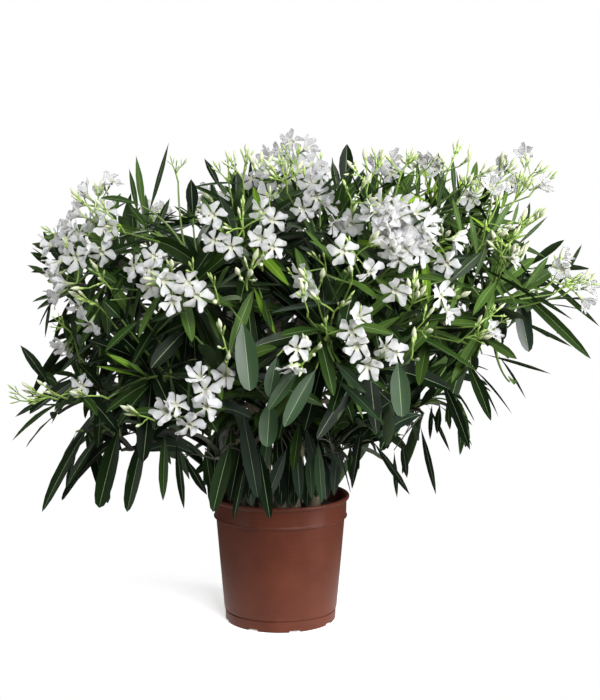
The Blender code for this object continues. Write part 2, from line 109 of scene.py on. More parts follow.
# For each outer stem: azimuth, then distance and height of the high, middle and low mass's tips.
SECTORS = {
    "front_left": (-24, (0.31, 0.660), (0.36, 0.450), (0.31, 0.325)),
    "front_right": (23, (0.32, 0.670), (0.36, 0.510), (0.31, 0.335)),
    "right_front": (68, (0.33, 0.715), (0.41, 0.535), (0.29, 0.355)),
    "right_back": (108, (0.38, 0.705), (0.46, 0.550), (0.30, 0.375)),
    "back_right": (155, (0.31, 0.680), (0.38, 0.510), (0.32, 0.350)),
    "back_left": (-157, (0.31, 0.670), (0.38, 0.500), (0.32, 0.340)),
    "left_back": (-112, (0.33, 0.690), (0.39, 0.500), (0.36, 0.340)),
    "left_front": (-68, (0.35, 0.660), (0.39, 0.440), (0.37, 0.320)),
}
TOP_FRONT = (-8, 0.13, 0.725)
# Masses on boughs of the middle stem: azimuth, distance and height of the tips, the share of the stem
# at which the bough leaves it, and the distance and height of the bough's end.
CENTRE_BOUGHS = {
    "top_right": (118, 0.14, 0.740, 0.62, (0.070, 0.575)),
    "top_left": (-128, 0.14, 0.735, 0.76, (0.070, 0.575)),
    "front_inner": (1, 0.23, 0.390, 0.34, (0.130, 0.405)),
    "back_inner": (181, 0.23, 0.400, 0.48, (0.130, 0.415)),
}


# ---------------------------------------------------------------- the camera

CAMERA_PLACE = (0.034, -2.37, 0.728)
CAMERA_PITCH = 83.8  # degrees up from straight down
CAMERA_LENS = 71.3
CAMERA_SENSOR = 36
PHOTO_MIDDLE = (300, 350)  # the photo is 600 x 700 pixels
PHOTO_FOCUS = CAMERA_LENS / CAMERA_SENSOR * 700  # in pixels, as the sensor spans the longer side


# ---------------------------------------------------------------- sizes of the fine growth

LIMB_STEPS = 26
SHOOT_STEPS = 7
TWIGS_IN_MASS = 3
SHOOT_ROOT_RADIUS = 0.0023
SHOOT_TIP_RADIUS = 0.0013
BROWN_BELOW, BROWN_WITHIN = 0.46, 0.25  # the height and the distance to either side
BROWN_THINNER = 0.62
SHOOT_SPACING = 0.084  # between the tips of neighbouring shoots
SHOOT_INSET = (0.050, 0.110)  # from a shoot's tip to the crown's outline
SHOOT_LEVELS = (0.275, 0.765)
SHOOT_DEPTHS = (1.0, 1.0, 0.94, 0.64, 0.50)  # shares of the reach at which tips stand, outer ones first
TOP_TIPS = 0.74  # above this height tips stand at the crown's outline alone
DARTS = 9000  # tips that are tried
FORK_SHARES = (0.96, 0.82, 0.68, 0.54, 0.40, 0.26)

# Whorls from a shoot's tip inwards: distance from the tip, length and width of the leaves, lean in degrees.
WHORLS = (
    (0.003, 0.088, 0.0125, 24),
    (0.024, 0.118, 0.0175, 40),
    (0.050, 0.138, 0.0215, 54),
    (0.080, 0.146, 0.0235, 66),
    (0.114, 0.140, 0.0235, 76),
)
WHORL_LEAVES = 3
LEAF_TRIES = 7
LEAF_THICKNESS = 0.0007
SIGHT_STEPS = 70
SIGHT_START, SIGHT_STEP = -0.60, 0.01  # in depth (y)
LEAF_BOTTOM = 0.190  # the lowest tips beside the pot, and how much higher they hang in front and behind
LEAF_BOTTOM_RISE = 0.22
LOW_SPACING = 0.050  # how much further apart shoots stand low in the crown
LOW_LEAF_BREADTH = 1.30  # how much broader the leaves low in the crown are
TOP_LEAF_BREADTH, RIGHT_LEAF_BREADTH = 0.80, 0.74  # and those at its top, and at its top on the right
TOP_LIFT, RIGHT_LIFT = 12, 10  # degrees by which these stand more upright
SHARP_ANGLE = 72  # degrees: the margins of leaves and petals, not the sides of a tube
SPACE_GRAIN = 0.0095  # two leaves never share a cube of this side
LEAF_SAMPLES = (-0.42, -0.14, 0.14, 0.42)  # where across its width a leaf's place is marked
SPINE_STEPS = 10  # along a leaf, where its place is marked
SPINE_FROM = 2  # the first that has to be free, as those before it lie in the whorl
SPINE_CHECKED = (4, 7, 10)  # those that have to lie within the crown
POT_CLEARANCE = 0.004
POT_SIDES, POT_ROUNDING = 144, 0.0012
COMPOST_SIDES, COMPOST_RINGS = 96, 34
TOWARDS_CAMERA = Vector((0, -0.25, 0.02))  # the way kept clear in front of a head or a flower
IN_FRONT_OF_LEAF = Vector((0, -0.22, 0.02))

FLOWER_RADIUS = 0.0208
SHADED_ABOVE, SHADED_FROM = 0.715, -0.20  # petals get painted shade, a greyer copy of their material, above this height and to the right of this x
SHADED_BEYOND = 0.27  # and at any height to the right of this x
FLOWER_ROOM = 0.00075  # of the truss's dome for each flower, in square metres
TUBE_LENGTH = 0.0175
BUD_LENGTH = 0.030
RIPE_LENGTH, PLUMP_LENGTH = 0.021, 0.027  # from which buds are cream, and plump
PEDICEL_RADIUS = 0.0008
PEDUNCLE_RADIUS = 0.0012
HUB_DEPTH = 0.045  # from the crown's outline in to the fork of a truss
HUB_STALK = 0.012
STALK_REACH = 0.045  # how far in front of its fork or behind it a flower may stand
HEAD_ROOM = 0.017  # half the width kept clear of leaves in front of a head of buds
SKY_SHARE = 0.95
CURTAIN_ROOTS = 26
CURTAIN_REACH, CURTAIN_HEIGHTS = (0.035, 0.135), (0.335, 0.410)
CURTAIN_LENGTHS, CURTAIN_WIDTHS = (0.100, 0.135), (0.017, 0.025)  # of its leaves
CURTAIN_STEP = 137.5  # degrees about the pot from one root to the next
CURTAIN_TURNS = (-0.7, 0.0, 0.7)

# The forked heads that show from the front, as: pixel of the fork in the photo (600 x 700), how far it
# stands behind the usual depth in metres, number of buds, and their age from 0 (small and green) to 1.
HEADS = (
    (176, 174, 0.10, 8, 0.0), (229, 184, 0.06, 10, 0.3), (260, 182, 0.08, 4, 0.7),
    (287, 185, 0.03, 14, 0.5), (322, 172, 0.10, 3, 0.2), (352, 204, 0.00, 9, 0.5),
    (368, 184, 0.06, 7, 0.9), (401, 174, 0.05, 9, 0.8), (448, 171, 0.06, 8, 0.8),
    (461, 196, 0.04, 6, 0.7), (475, 200, 0.04, 5, 0.4), (515, 200, 0.05, 14, 0.5),
    (534, 190, 0.08, 4, 0.4), (524, 228, 0.04, 3, 0.8), (506, 266, 0.03, 10, 1.0),
    (560, 289, 0.06, 8, 0.6), (438, 243, 0.02, 4, 0.5), (412, 304, 0.00, 12, 0.8),
    (334, 312, 0.00, 9, 0.6), (318, 292, 0.01, 4, 0.9), (308, 311, 0.00, 3, 0.8),
    (326, 268, 0.00, 4, 0.4), (352, 280, 0.00, 5, 0.6), (356, 256, 0.00, 6, 0.6),
    (218, 299, 0.00, 4, 0.6), (173, 280, 0.00, 5, 0.7), (197, 279, 0.01, 3, 0.6),
    (243, 229, 0.01, 11, 0.4), (246, 284, 0.00, 8, 0.9), (262, 264, 0.01, 3, 0.8),
    (121, 226, 0.02, 6, 0.5), (96, 214, 0.04, 5, 0.5), (106, 283, 0.00, 10, 0.6), (78, 262, 0.03, 3, 0.5),
    (100, 307, 0.00, 5, 0.7), (66, 328, 0.04, 8, 0.1), (50, 397, 0.02, 11, 0.4), (32, 402, 0.06, 6, 0.3),
    (60, 396, 0.02, 4, 0.6), (102, 396, 0.02, 3, 0.6), (149, 418, 0.00, 4, 0.7), (226, 371, 0.04, 3, 0.8),
    (226, 348, 0.00, 4, 0.6), (309, 357, 0.00, 9, 0.8), (411, 359, 0.00, 4, 0.7),
    (415, 331, 0.00, 5, 0.8), (327, 335, 0.00, 6, 0.2), (488, 224, 0.04, 8, 0.6),
    (481, 246, 0.04, 5, 0.7), (506, 248, 0.04, 6, 0.7), (524, 222, 0.05, 3, 0.8),
    (492, 326, 0.04, 7, 0.3), (198, 388, 0.02, 3, 0.4), (178, 418, 0.00, 4, 0.4),
    (398, 232, 0.03, 3, 0.5), (376, 360, 0.00, 3, 0.4), (356, 330, 0.01, 3, 0.5),
    (442, 303, 0.02, 5, 0.7), (269, 214, 0.04, 3, 0.6), (296, 168, 0.26, 6, 0.4),
    (382, 174, 0.18, 5, 0.6), (436, 182, 0.10, 3, 0.6), (300, 282, 0.04, 2, 0.6), (92, 214, 0.10, 2, 0.4),
    (66, 240, 0.06, 3, 0.4), (72, 350, 0.22, 4, 0.3), (152, 276, 0.03, 3, 0.5), (309, 198, 0.06, 3, 0.5),
    (570, 290, 0.10, 5, 0.5), (222, 232, 0.03, 4, 0.6), (343, 225, 0.07, 4, 0.5),
    (418, 240, 0.03, 0, 0.5), (386, 224, 0.03, 0, 0.5), (404, 250, 0.03, 0, 0.5),
    (414, 218, 0.03, 0, 0.5), (243, 180, 0.06, 8, 0.5), (524, 182, 0.08, 8, 0.6),
    (418, 176, 0.08, 4, 0.5), (66, 282, 0.05, 3, 0.5), (464, 338, 0.03, 9, 0.5), (480, 322, 0.03, 6, 0.4),
    (497, 184, 0.06, 7, 0.8), (466, 180, 0.08, 6, 0.9), (514, 238, 0.05, 6, 0.7),
    (552, 282, 0.06, 5, 0.8),
)  # fmt: skip
# The open flowers, as: pixel of the mouth, how far behind the crown's outline in metres, and the way it
# faces: degrees to the right of the front, and upwards.
FLOWERS = (
    (103, 186, 0.12, -50, 60), (112, 181, 0.14, 40, 50), (86, 195, 0.10, -80, 40),
    (83, 204, 0.08, -80, 10), (80, 215, 0.08, -75, 20), (69, 225, 0.10, -80, 50),
    (57, 235, 0.06, -50, 20), (50, 246, 0.08, -80, 0), (79, 233, 0.04, -50, 10), (90, 221, 0.06, -40, 20),
    (71, 229, 0.07, -55, 25), (67, 239, 0.02, -40, 20), (66, 252, 0.00, -45, -5),
    (58, 263, 0.04, -70, -30), (76, 257, 0.00, -30, -10), (107, 211, 0.02, 20, 15),
    (107, 227, 0.02, 10, -10), (92, 248, 0.00, -60, 0), (102, 253, 0.00, 10, -20),
    (57, 275, 0.06, -80, -30), (66, 284, 0.03, -90, -5), (58, 294, 0.08, -70, -30),
    (78, 306, 0.03, -40, -40), (90, 324, 0.06, -20, -50), (64, 345, 0.20, -60, -10),
    (68, 354, 0.22, -40, -40), (82, 386, 0.12, -10, 10), (154, 256, 0.02, 0, 20),
    (134, 267, 0.02, -50, 10), (150, 270, 0.01, -20, 10), (150, 286, 0.00, -20, -15),
    (164, 281, 0.02, 30, 0), (172, 302, 0.00, 0, -15), (188, 283, 0.02, 10, 20),
    (197, 296, 0.00, 20, -10), (213, 215, 0.03, -5, 10), (214, 241, 0.01, -25, 15),
    (231, 247, 0.01, 10, 10), (269, 196, 0.03, -5, 15), (262, 211, 0.02, -20, 0), (273, 221, 0.02, 25, 0),
    (261, 238, 0.00, -20, 10), (273, 247, 0.00, 15, -10), (252, 178, 0.20, -20, 30),
    (268, 172, 0.10, -10, 50), (270, 158, 0.28, -60, 20), (281, 150, 0.30, -20, 30),
    (292, 142, 0.32, 0, 30), (306, 149, 0.30, 40, 20), (313, 166, 0.12, 20, 30),
    (305, 172, 0.10, -10, 20), (321, 176, 0.12, 40, 10), (311, 184, 0.05, -10, 20),
    (316, 197, 0.04, 20, 0), (303, 209, 0.02, -5, -10), (324, 203, 0.05, 50, 0),
    (333, 224, 0.06, 30, -30), (351, 224, 0.06, 0, -30), (341, 228, 0.06, -30, -40),
    (343, 251, 0.00, 0, 5), (370, 272, 0.00, 40, -35), (301, 274, 0.03, -40, -10),
    (304, 288, 0.05, 0, -40), (372, 212, 0.02, -55, 10), (395, 209, 0.02, -20, 30),
    (405, 205, 0.03, 0, 45), (416, 213, 0.02, 20, 30), (428, 222, 0.03, 55, 15),
    (397, 226, 0.00, -10, 10), (411, 228, 0.00, 10, 15), (423, 236, 0.00, 30, 5),
    (386, 234, 0.01, -35, 0), (392, 250, 0.00, -20, -20), (405, 249, 0.00, 0, -25),
    (420, 250, 0.01, 20, -30), (388, 221, 0.01, -30, 15), (431, 241, 0.02, 50, -5),
    (408, 239, 0.00, 5, 0), (399, 217, -0.01, -10, 30), (401, 233, -0.01, -15, 5),
    (392, 241, -0.01, -30, -5), (413, 244, -0.01, 5, -15), (384, 214, 0.00, -40, 20),
    (425, 228, 0.00, 40, 20), (400, 260, 0.00, -5, -40), (381, 204, 0.02, -30, 40),
    (396, 225, 0.00, -20, 15), (380, 162, 0.25, -10, 30), (392, 162, 0.22, 10, 40),
    (391, 173, 0.15, 20, 10), (438, 168, 0.10, -40, 20), (490, 188, 0.08, 10, 30),
    (470, 197, 0.10, -20, -10), (506, 169, 0.08, -55, 20), (511, 183, 0.08, 20, -10),
    (526, 157, 0.12, -25, 35), (539, 186, 0.08, 60, 20), (455, 240, 0.02, 60, 0),
    (447, 264, 0.04, -20, 0), (511, 258, 0.04, 60, 0), (562, 270, 0.06, -20, 0), (561, 258, 0.10, 60, 30),
    (575, 279, 0.10, 70, -10), (586, 288, 0.12, 55, 10), (583, 300, 0.12, 60, -40),
    (395, 291, 0.00, 0, -20), (441, 296, 0.02, 35, 5), (448, 311, 0.02, 50, -40),
    (359, 317, 0.00, 15, 20), (351, 331, 0.01, -10, -10), (357, 346, 0.00, -5, -10),
    (368, 366, 0.00, 0, -20), (386, 347, 0.01, -45, 10), (396, 353, 0.00, 25, 0),
    (200, 377, 0.02, -20, 30), (205, 391, 0.00, 20, 0), (206, 407, 0.00, 10, -15),
    (167, 411, 0.00, -20, 5), (176, 405, 0.01, 25, 25), (189, 425, 0.00, 10, -20),
    (225, 375, 0.10, 0, 10), (489, 333, 0.06, 62, 20), (297, 349, 0.00, 20, -10),
    (291, 368, 0.00, -20, -60),
)  # fmt: skip
# Where the photo shows sky through the crown or beside its leaves: pixel and radius in pixels.
SKY = (
    (118, 178, 8), (146, 186, 4), (163, 185, 12), (160, 205, 8), (178, 160, 7), (192, 235, 8),
    (197, 165, 6), (180, 150, 8), (250, 152, 6), (412, 152, 6), (424, 166, 6), (388, 148, 4),
    (330, 150, 6), (545, 205, 9), (542, 245, 8), (520, 332, 8), (560, 360, 9), (535, 362, 7),
    (582, 322, 6), (550, 345, 5), (575, 340, 5), (485, 358, 8), (500, 378, 7), (468, 392, 8),
    (470, 372, 5), (428, 440, 11), (420, 462, 12), (436, 412, 6), (412, 480, 9), (448, 440, 8),
    (372, 480, 10), (360, 497, 8), (395, 500, 7), (378, 445, 4), (72, 415, 12), (58, 432, 10),
    (44, 448, 9), (82, 492, 9), (88, 502, 7), (107, 462, 5), (115, 494, 6), (128, 457, 7), (118, 478, 5),
    (150, 480, 9), (152, 458, 4), (172, 484, 7), (194, 488, 8), (48, 355, 7), (72, 368, 6), (45, 338, 5),
    (38, 283, 7), (35, 315, 7), (62, 308, 4), (548, 395, 14), (520, 420, 16), (490, 445, 14),
    (505, 405, 8), (460, 470, 12), (30, 470, 14), (68, 508, 7), (140, 505, 8), (205, 172, 4),
    (445, 150, 3), (76, 424, 9), (66, 440, 8), (56, 456, 8), (128, 440, 8), (515, 335, 9), (510, 352, 8),
    (560, 322, 8), (572, 332, 8), (492, 364, 7), (475, 402, 9), (480, 416, 8), (463, 384, 7),
    (425, 414, 6), (431, 427, 6), (442, 428, 6), (52, 312, 6), (53, 328, 6), (40, 334, 8), (60, 360, 5),
    (386, 482, 6), (533, 246, 6), (572, 355, 8), (578, 372, 8), (124, 462, 6), (551, 356, 7),
    (540, 352, 6), (157, 200, 6), (550, 238, 8), (318, 434, 3), (324, 452, 3), (332, 464, 3),
    (508, 368, 9), (520, 372, 8), (205, 252, 3), (166, 205, 6), (190, 165, 6), (270, 225, 3),
)  # fmt: skip
# The leaves that stand out, as: pixels of root and tip, their depths (y) in centimetres, the width in
# millimetres, roll from facing the front in degrees, arch in hundredths of the reach, and tone.
SHOWN_LEAVES = (
    (145, 224, 136, 155, -12, -12, 12, 20, 2, "light"),
    (139, 220, 129, 168, -13, -14, 10, 30, 4, "green"), (147, 220, 169, 142, -12, -8, 11, 48, 3, "deep"),
    (193, 218, 191, 179, -17, -17, 20, 15, 2, "shade"),
    (150, 240, 201, 268, -24, -30, 28, 25, 30, "green"),
    (58, 270, 30, 252, -14, -17, 14, 30, 10, "green"), (54, 279, 27, 265, -12, -12, 12, 40, 10, "light"),
    (62, 296, 32, 302, -10, -7, 12, 40, 18, "green"), (53, 391, 20, 345, -6, -5, 17, 15, 12, "deep"),
    (106, 393, 77, 362, -19, -22, 16, 20, 14, "deep"), (62, 402, 12, 441, -5, 0, 13, 35, 22, "green"),
    (185, 331, 151, 368, -36, -40, 24, 0, 10, "shade"), (243, 324, 250, 391, -40, -42, 32, 5, 6, "gloss"),
    (105, 292, 108, 336, -24, -25, 17, 10, 6, "green"),
    (236, 203, 236, 168, -12, -10, 18, 10, 2, "shade"), (250, 184, 187, 189, -14, -17, 9, 60, 18, "deep"),
    (277, 356, 269, 398, -41, -42, 22, 5, 4, "gloss"), (316, 369, 284, 427, -41, -43, 24, 0, 10, "gloss"),
    (298, 371, 268, 411, -42, -44, 20, 10, 12, "gloss"),
    (270, 402, 267, 447, -37, -38, 28, 0, 4, "gloss"), (350, 302, 271, 313, -36, -40, 15, 48, 10, "blue"),
    (205, 305, 220, 341, -34, -36, 10, 40, 12, "light"),
    (252, 284, 276, 335, -36, -38, 12, 20, 4, "fresh"),
    (262, 298, 272, 331, -37, -40, 10, 30, 4, "green"), (345, 193, 347, 144, -7, -4, 24, 5, 2, "shade"),
    (339, 196, 332, 161, -6, -5, 15, 20, 3, "deep"), (419, 204, 417, 160, -12, -12, 9, 35, 3, "green"),
    (470, 190, 477, 161, -10, -7, 13, 20, 4, "light"), (364, 198, 409, 175, -17, -19, 13, 40, 6, "green"),
    (508, 281, 591, 359, -10, -12, 19, 22, 9, "green"), (533, 269, 600, 327, 0, 2, 12, 50, 10, "green"),
    (519, 302, 529, 352, -7, -10, 26, 15, 5, "blue"), (484, 339, 517, 359, -17, -19, 16, 15, 16, "light"),
    (512, 318, 572, 347, -2, 0, 9, 50, 10, "deep"), (455, 205, 452, 155, -12, -10, 9, 30, 2, "green"),
    (466, 361, 491, 421, -17, -17, 19, 25, 24, "deep"), (482, 354, 551, 374, -7, -5, 8, 50, 8, "shade"),
    (497, 354, 526, 399, -2, 0, 6, 55, 22, "deep"), (398, 364, 402, 417, -40, -41, 29, 0, 4, "gloss"),
    (334, 361, 366, 393, -42, -43, 16, 20, 8, "gloss"),
    (336, 379, 380, 421, -38, -40, 16, 30, 16, "gloss"),
    (428, 338, 419, 386, -31, -31, 20, 20, 12, "light"),
    (440, 376, 470, 450, -22, -22, 18, 25, 20, "shade"), (90, 424, 42, 512, -12, -10, 21, 20, 16, "deep"),
    (76, 432, 51, 500, -7, -5, 14, 35, 12, "deep"), (118, 432, 99, 508, -19, -19, 29, 10, 8, "deep"),
    (144, 434, 127, 512, -24, -24, 25, 15, 8, "deep"), (165, 430, 163, 501, -29, -29, 16, 20, 4, "green"),
    (176, 440, 184, 509, -26, -26, 14, 30, 6, "shade"),
    (230, 444, 213, 512, -26, -28, 26, 10, 10, "deep"),
    (247, 458, 233, 522, -26, -28, 14, 30, 10, "shade"),
    (258, 446, 270, 519, -25, -26, 22, 15, 6, "shade"), (242, 410, 258, 498, -29, -26, 26, 10, 6, "blue"),
    (318, 440, 322, 503, -24, -24, 18, 20, 4, "gloss"), (296, 436, 300, 500, -24, -23, 20, 20, 4, "blue"),
    (362, 425, 352, 489, -24, -23, 18, 30, 16, "shade"),
    (420, 425, 436, 495, -17, -14, 12, 35, 14, "shade"), (52, 297, 45, 338, -10, -8, 7, 30, 20, "deep"),
    (470, 366, 512, 414, -5, -4, 5, 40, 25, "shade"), (464, 358, 499, 418, -5, -4, 5, 40, 30, "shade"),
    (150, 377, 105, 353, -34, -36, 10, 30, 6, "fresh"), (149, 378, 126, 361, -34, -36, 9, 50, 4, "light"),
    (147, 379, 95, 366, -33, -34, 8, 50, 8, "fresh"), (155, 231, 170, 198, -20, -18, 10, 30, 6, "deep"),
    (158, 232, 200, 215, -20, -20, 10, 50, 14, "deep"),
    (142, 206, 100, 198, -22, -24, 13, 40, 20, "green"),
    (150, 232, 127, 203, -24, -26, 12, 30, 5, "green"), (122, 320, 103, 300, -36, -38, 20, 10, 4, "deep"),
    (140, 320, 105, 352, -36, -38, 18, 40, 12, "green"),
    (100, 338, 58, 375, -20, -18, 11, 30, 14, "deep"), (110, 300, 124, 275, -34, -35, 12, 30, 2, "green"),
    (440, 260, 478, 258, -36, -34, 14, 40, 10, "blue"), (447, 285, 482, 252, -36, -34, 18, 20, 8, "deep"),
    (217, 430, 212, 508, -20, -17, 22, 15, 6, "shade"), (205, 448, 212, 495, -22, -20, 18, 20, 6, "deep"),
    (287, 448, 267, 500, -20, -17, 20, 15, 6, "blue"), (300, 420, 293, 472, -25, -24, 18, 10, 6, "green"),
    (298, 455, 301, 503, -20, -17, 16, 15, 6, "shade"),
    (309, 446, 312, 500, -16, -15, 17, 20, 6, "gloss"), (338, 440, 334, 496, -17, -15, 18, 20, 6, "blue"),
    (350, 443, 353, 486, -20, -18, 14, 30, 16, "deep"),
    (262, 436, 243, 500, -14, -13, 22, 15, 6, "shade"), (291, 430, 288, 505, -14, -14, 22, 15, 6, "deep"),
    (318, 430, 316, 498, -12, -13, 22, 15, 6, "shade"), (305, 425, 322, 484, -24, -22, 20, 20, 6, "blue"),
    (242, 440, 230, 502, -18, -15, 22, 15, 6, "shade"),
    (270, 425, 262, 480, -24, -22, 20, 15, 6, "gloss"),
    (250, 452, 251, 506, -14.5, -13.5, 24, 15, 6, "blue"),
    (283, 455, 281, 507, -14.5, -13.5, 24, 15, 6, "shade"),
    (297, 452, 294, 507, -13, -13.5, 22, 15, 6, "deep"),
    (309, 455, 307, 506, -14.5, -13.5, 22, 15, 6, "shade"),
    (323, 455, 326, 500, -13, -13, 22, 15, 6, "blue"),
    (240, 458, 241, 500, -14.5, -13.5, 22, 15, 6, "shade"),
    (265, 455, 262, 505, -14.5, -13.5, 24, 15, 6, "shade"),
    (428, 405, 450, 452, -15, -12, 7, 30, 10, "shade"),
    (440, 403, 437, 434, -16, -15, 12, 30, 4, "shade"), (447, 400, 450, 430, -14, -13, 10, 30, 4, "deep"),
    (432, 403, 430, 440, -12, -11, 9, 30, 4, "shade"), (402, 440, 407, 478, -18, -16, 13, 30, 4, "shade"),
    (394, 450, 397, 498, -16, -15, 9, 30, 4, "shade"), (50, 398, 15, 417, -4, -2, 11, 35, 10, "deep"),
    (183, 455, 207, 495, -22, -20, 15, 25, 6, "shade"), (99, 436, 66, 488, -16, -14, 17, 25, 10, "deep"),
    (58, 297, 39, 326, -10, -8, 8, 40, 35, "deep"), (222, 192, 204, 158, -8, -6, 13, 30, 4, "shade"),
    (232, 420, 228, 480, -22, -20, 20, 10, 6, "deep"), (276, 430, 280, 496, -17, -15, 20, 10, 6, "shade"),
    (327, 425, 343, 470, -22, -20, 17, 20, 6, "blue"), (255, 440, 248, 500, -17, -15, 18, 20, 6, "shade"),
    (455, 277, 453, 240, -34, -32, 12, 20, 2, "blue"), (472, 287, 492, 227, -30, -28, 11, 25, 2, "green"),
    (488, 240, 511, 201, -20, -18, 10, 25, 2, "light"),
    (478, 262, 470, 214, -28, -27, 10, 25, 2, "light"), (510, 232, 519, 201, -16, -15, 8, 30, 2, "light"),
    (522, 232, 530, 202, -14, -13, 11, 30, 2, "deep"), (500, 214, 508, 188, -14, -13, 8, 30, 2, "fresh"),
    (492, 206, 526, 170, -12, -10, 10, 30, 2, "deep"), (463, 240, 452, 196, -26, -24, 10, 25, 2, "light"),
    (436, 212, 444, 172, -20, -18, 11, 25, 2, "green"), (442, 200, 434, 163, -16, -14, 12, 25, 2, "deep"),
    (500, 277, 573, 320, -14, -14, 9, 40, 10, "green"),
    (522, 292, 549, 256, -14, -12, 14, 25, 5, "light"), (512, 250, 548, 216, -14, -12, 8, 40, 2, "green"),
    (372, 440, 410, 495, -22, -19, 13, 35, 6, "shade"),
)  # fmt: skip
SHOWN_LOW, SHOWN_HIGH = 0.42, 0.60  # their roots' heights below and above which they count as low and high
# Behind this depth shoots flower by a seeded rule, since the photo shows the front alone.
RULE_FROM = -0.02
RULE_RIGHT = (0.28, 0.12)  # none beyond this x in front of this y, as the photo shows that side
RULE_LOWEST = 0.43
RULE_HIGH = 0.69
RULE_SHARE, RULE_SHARE_LOW = 0.42, 0.62  # of the shoots above that height and below it

ROOM_LOOK = 1.0
ROOM_LIGHT = 0.11
FLOOR_GLOW = 0.50  # keeps the shadow on the pale floor faint
FLOOR_FADE = (0.10, 0.52)
# The soft boxes, as: name, place, the point it faces, its two sides in metres and its power in watts.
LIGHTS = (
    ("key", (1.2, -3.2, 2.4), (0, 0, 0.42), (1.7, 1.7), 235),
    ("top", (-0.3, 0.0, 2.8), (0, 0, 0.4), (1.4, 1.4), 17),
    ("side", (1.7, -0.9, 0.5), (0, 0, 0.15), (0.4, 1.2), 46),
    ("left", (-1.8, -0.9, 0.45), (0, 0, 0.2), (0.5, 1.2), 15),
    ("back", (-1.0, 1.9, 1.9), (0, 0, 0.4), (1.4, 1.4), 20),
)

# Plain colours dealt out by spray (linear RGB). The shade tone is painted shade; blue is a bluish dark green
# that partly paints the sheen of low leaves.
BLADES = {
    "shade": (0.0030, 0.0080, 0.0025),
    "deep": (0.0070, 0.0180, 0.0035),
    "green": (0.0160, 0.0370, 0.0060),
    "light": (0.0400, 0.0800, 0.0130),
    "fresh": (0.0820, 0.1600, 0.0110),
    "young": (0.1900, 0.3200, 0.0260),
    "blue": (0.0110, 0.0220, 0.0130),
    "gloss": (0.0190, 0.0450, 0.0160),
}
TONES = list(BLADES)
BRIGHTNESSES = TONES[:6]  # from the darkest up
LEAF_ROUGHNESS = 0.42
LEAF_SHINE = 0.09
SHEEN = {"blue": 0.42, "gloss": 0.34}  # leaves with more shine than the others
# The brightness of a spray, counted up from the darkest tone. Sprays deep inside the crown are darkened as
# painted shade.
TONE_START, TONE_HEIGHT = 3.5, 0.52  # in the youngest whorl at that height
TONE_BY_AGE, TONE_BY_HEIGHT, TONE_SHADE_INSIDE, TONE_SPREAD = 0.80, 4.4, 3.0, 0.6
TONE_RIGHT, TONE_LEFT, TONE_LOW_RIGHT = 1.1, 0.5, 0.6
BLUE_BELOW, BLUE_BEYOND, BLUE_SHARE = 0.42, 0.6, 0.35  # a height, a share of the reach, and of sprays
YOUNG_ABOVE = 0.63  # sprays below this height are never young
FRESH_SHARE = 0.12  # of the sprays below it that may be fresh
# Plain materials, as: name, colour, roughness, share of subsurface and shine.
RIB_LOOKS = (
    ("rib_pale", (0.160, 0.205, 0.110), 0.50, 0.0, 0.2),
    ("rib_young", (0.260, 0.380, 0.090), 0.50, 0.0, 0.2),
    ("under_green", (0.030, 0.056, 0.018), 0.60, 0.0, 0.2),
    ("under_young", (0.220, 0.350, 0.050), 0.60, 0.0, 0.2),
)
FLOWER_LOOKS = (
    ("petal_white", (0.55, 0.55, 0.55), 0.70, 0.85, 0.1),
    ("throat_cream", (0.44, 0.45, 0.36), 0.60, 0.10, 0.2),
    ("tube_pale", (0.38, 0.45, 0.24), 0.60, 0.0, 0.2),
    ("sepal_green", (0.14, 0.23, 0.04), 0.55, 0.0, 0.2),
    # petal_shaded is painted shade: a greyer copy of petal_white for flowers that the lamps light most
    # strongly
    ("petal_shaded", (0.37, 0.37, 0.375), 0.70, 0.85, 0.1),
)
BUD_LOOKS = (
    ("bud_cream", (0.49, 0.52, 0.36), 0.55, 0.0, 0.2),
    ("bud_green", (0.34, 0.44, 0.15), 0.55, 0.0, 0.2),
    ("bud_young", (0.17, 0.26, 0.060), 0.55, 0.0, 0.2),
    ("bud_sepal", (0.12, 0.20, 0.040), 0.55, 0.0, 0.2),
)


def polar(azimuth, distance, height):
    angle = math.radians(azimuth)
    return Vector((distance * math.sin(angle), -distance * math.cos(angle), height))


def between(low, high, share):
    return low + (high - low) * share


def clamp(value, low=0.0, high=1.0):
    return max(low, min(high, value))


def seen_at(pixel_x, pixel_y, depth):
    """The point at that depth (y) which the camera sees at a pixel of the photo."""
    tilt = math.radians(90 - CAMERA_PITCH)
    down = tilt + math.atan((pixel_y - PHOTO_MIDDLE[1]) / PHOTO_FOCUS)
    away = depth - CAMERA_PLACE[1]
    drop = away * math.tan(down)
    along_view = away * math.cos(tilt) + drop * math.sin(tilt)
    sideways = (pixel_x - PHOTO_MIDDLE[0]) / PHOTO_FOCUS * along_view
    return Vector((CAMERA_PLACE[0] + sideways, depth, CAMERA_PLACE[2] - drop))


# ---------------------------------------------------------------- materials


def shader_of(material):
    return material.node_tree.nodes["Principled BSDF"]


def plain(name, colour, roughness, subsurface=0.0, shine=0.5):
    """A plain base colour for one of the many small pieces of a spray."""
    made = bpy.data.materials.new(name)
    made.use_nodes = True
    shader = shader_of(made)
    shader.inputs["Base Color"].default_value = (*colour, 1)
    shader.inputs["Roughness"].default_value = roughness
    shader.inputs["Subsurface Weight"].default_value = subsurface
    shader.inputs["Subsurface Radius"].default_value = (1.0, 1.0, 0.9)
    shader.inputs["Subsurface Scale"].default_value = 0.006
    shader.inputs["Specular IOR Level"].default_value = shine
    return made


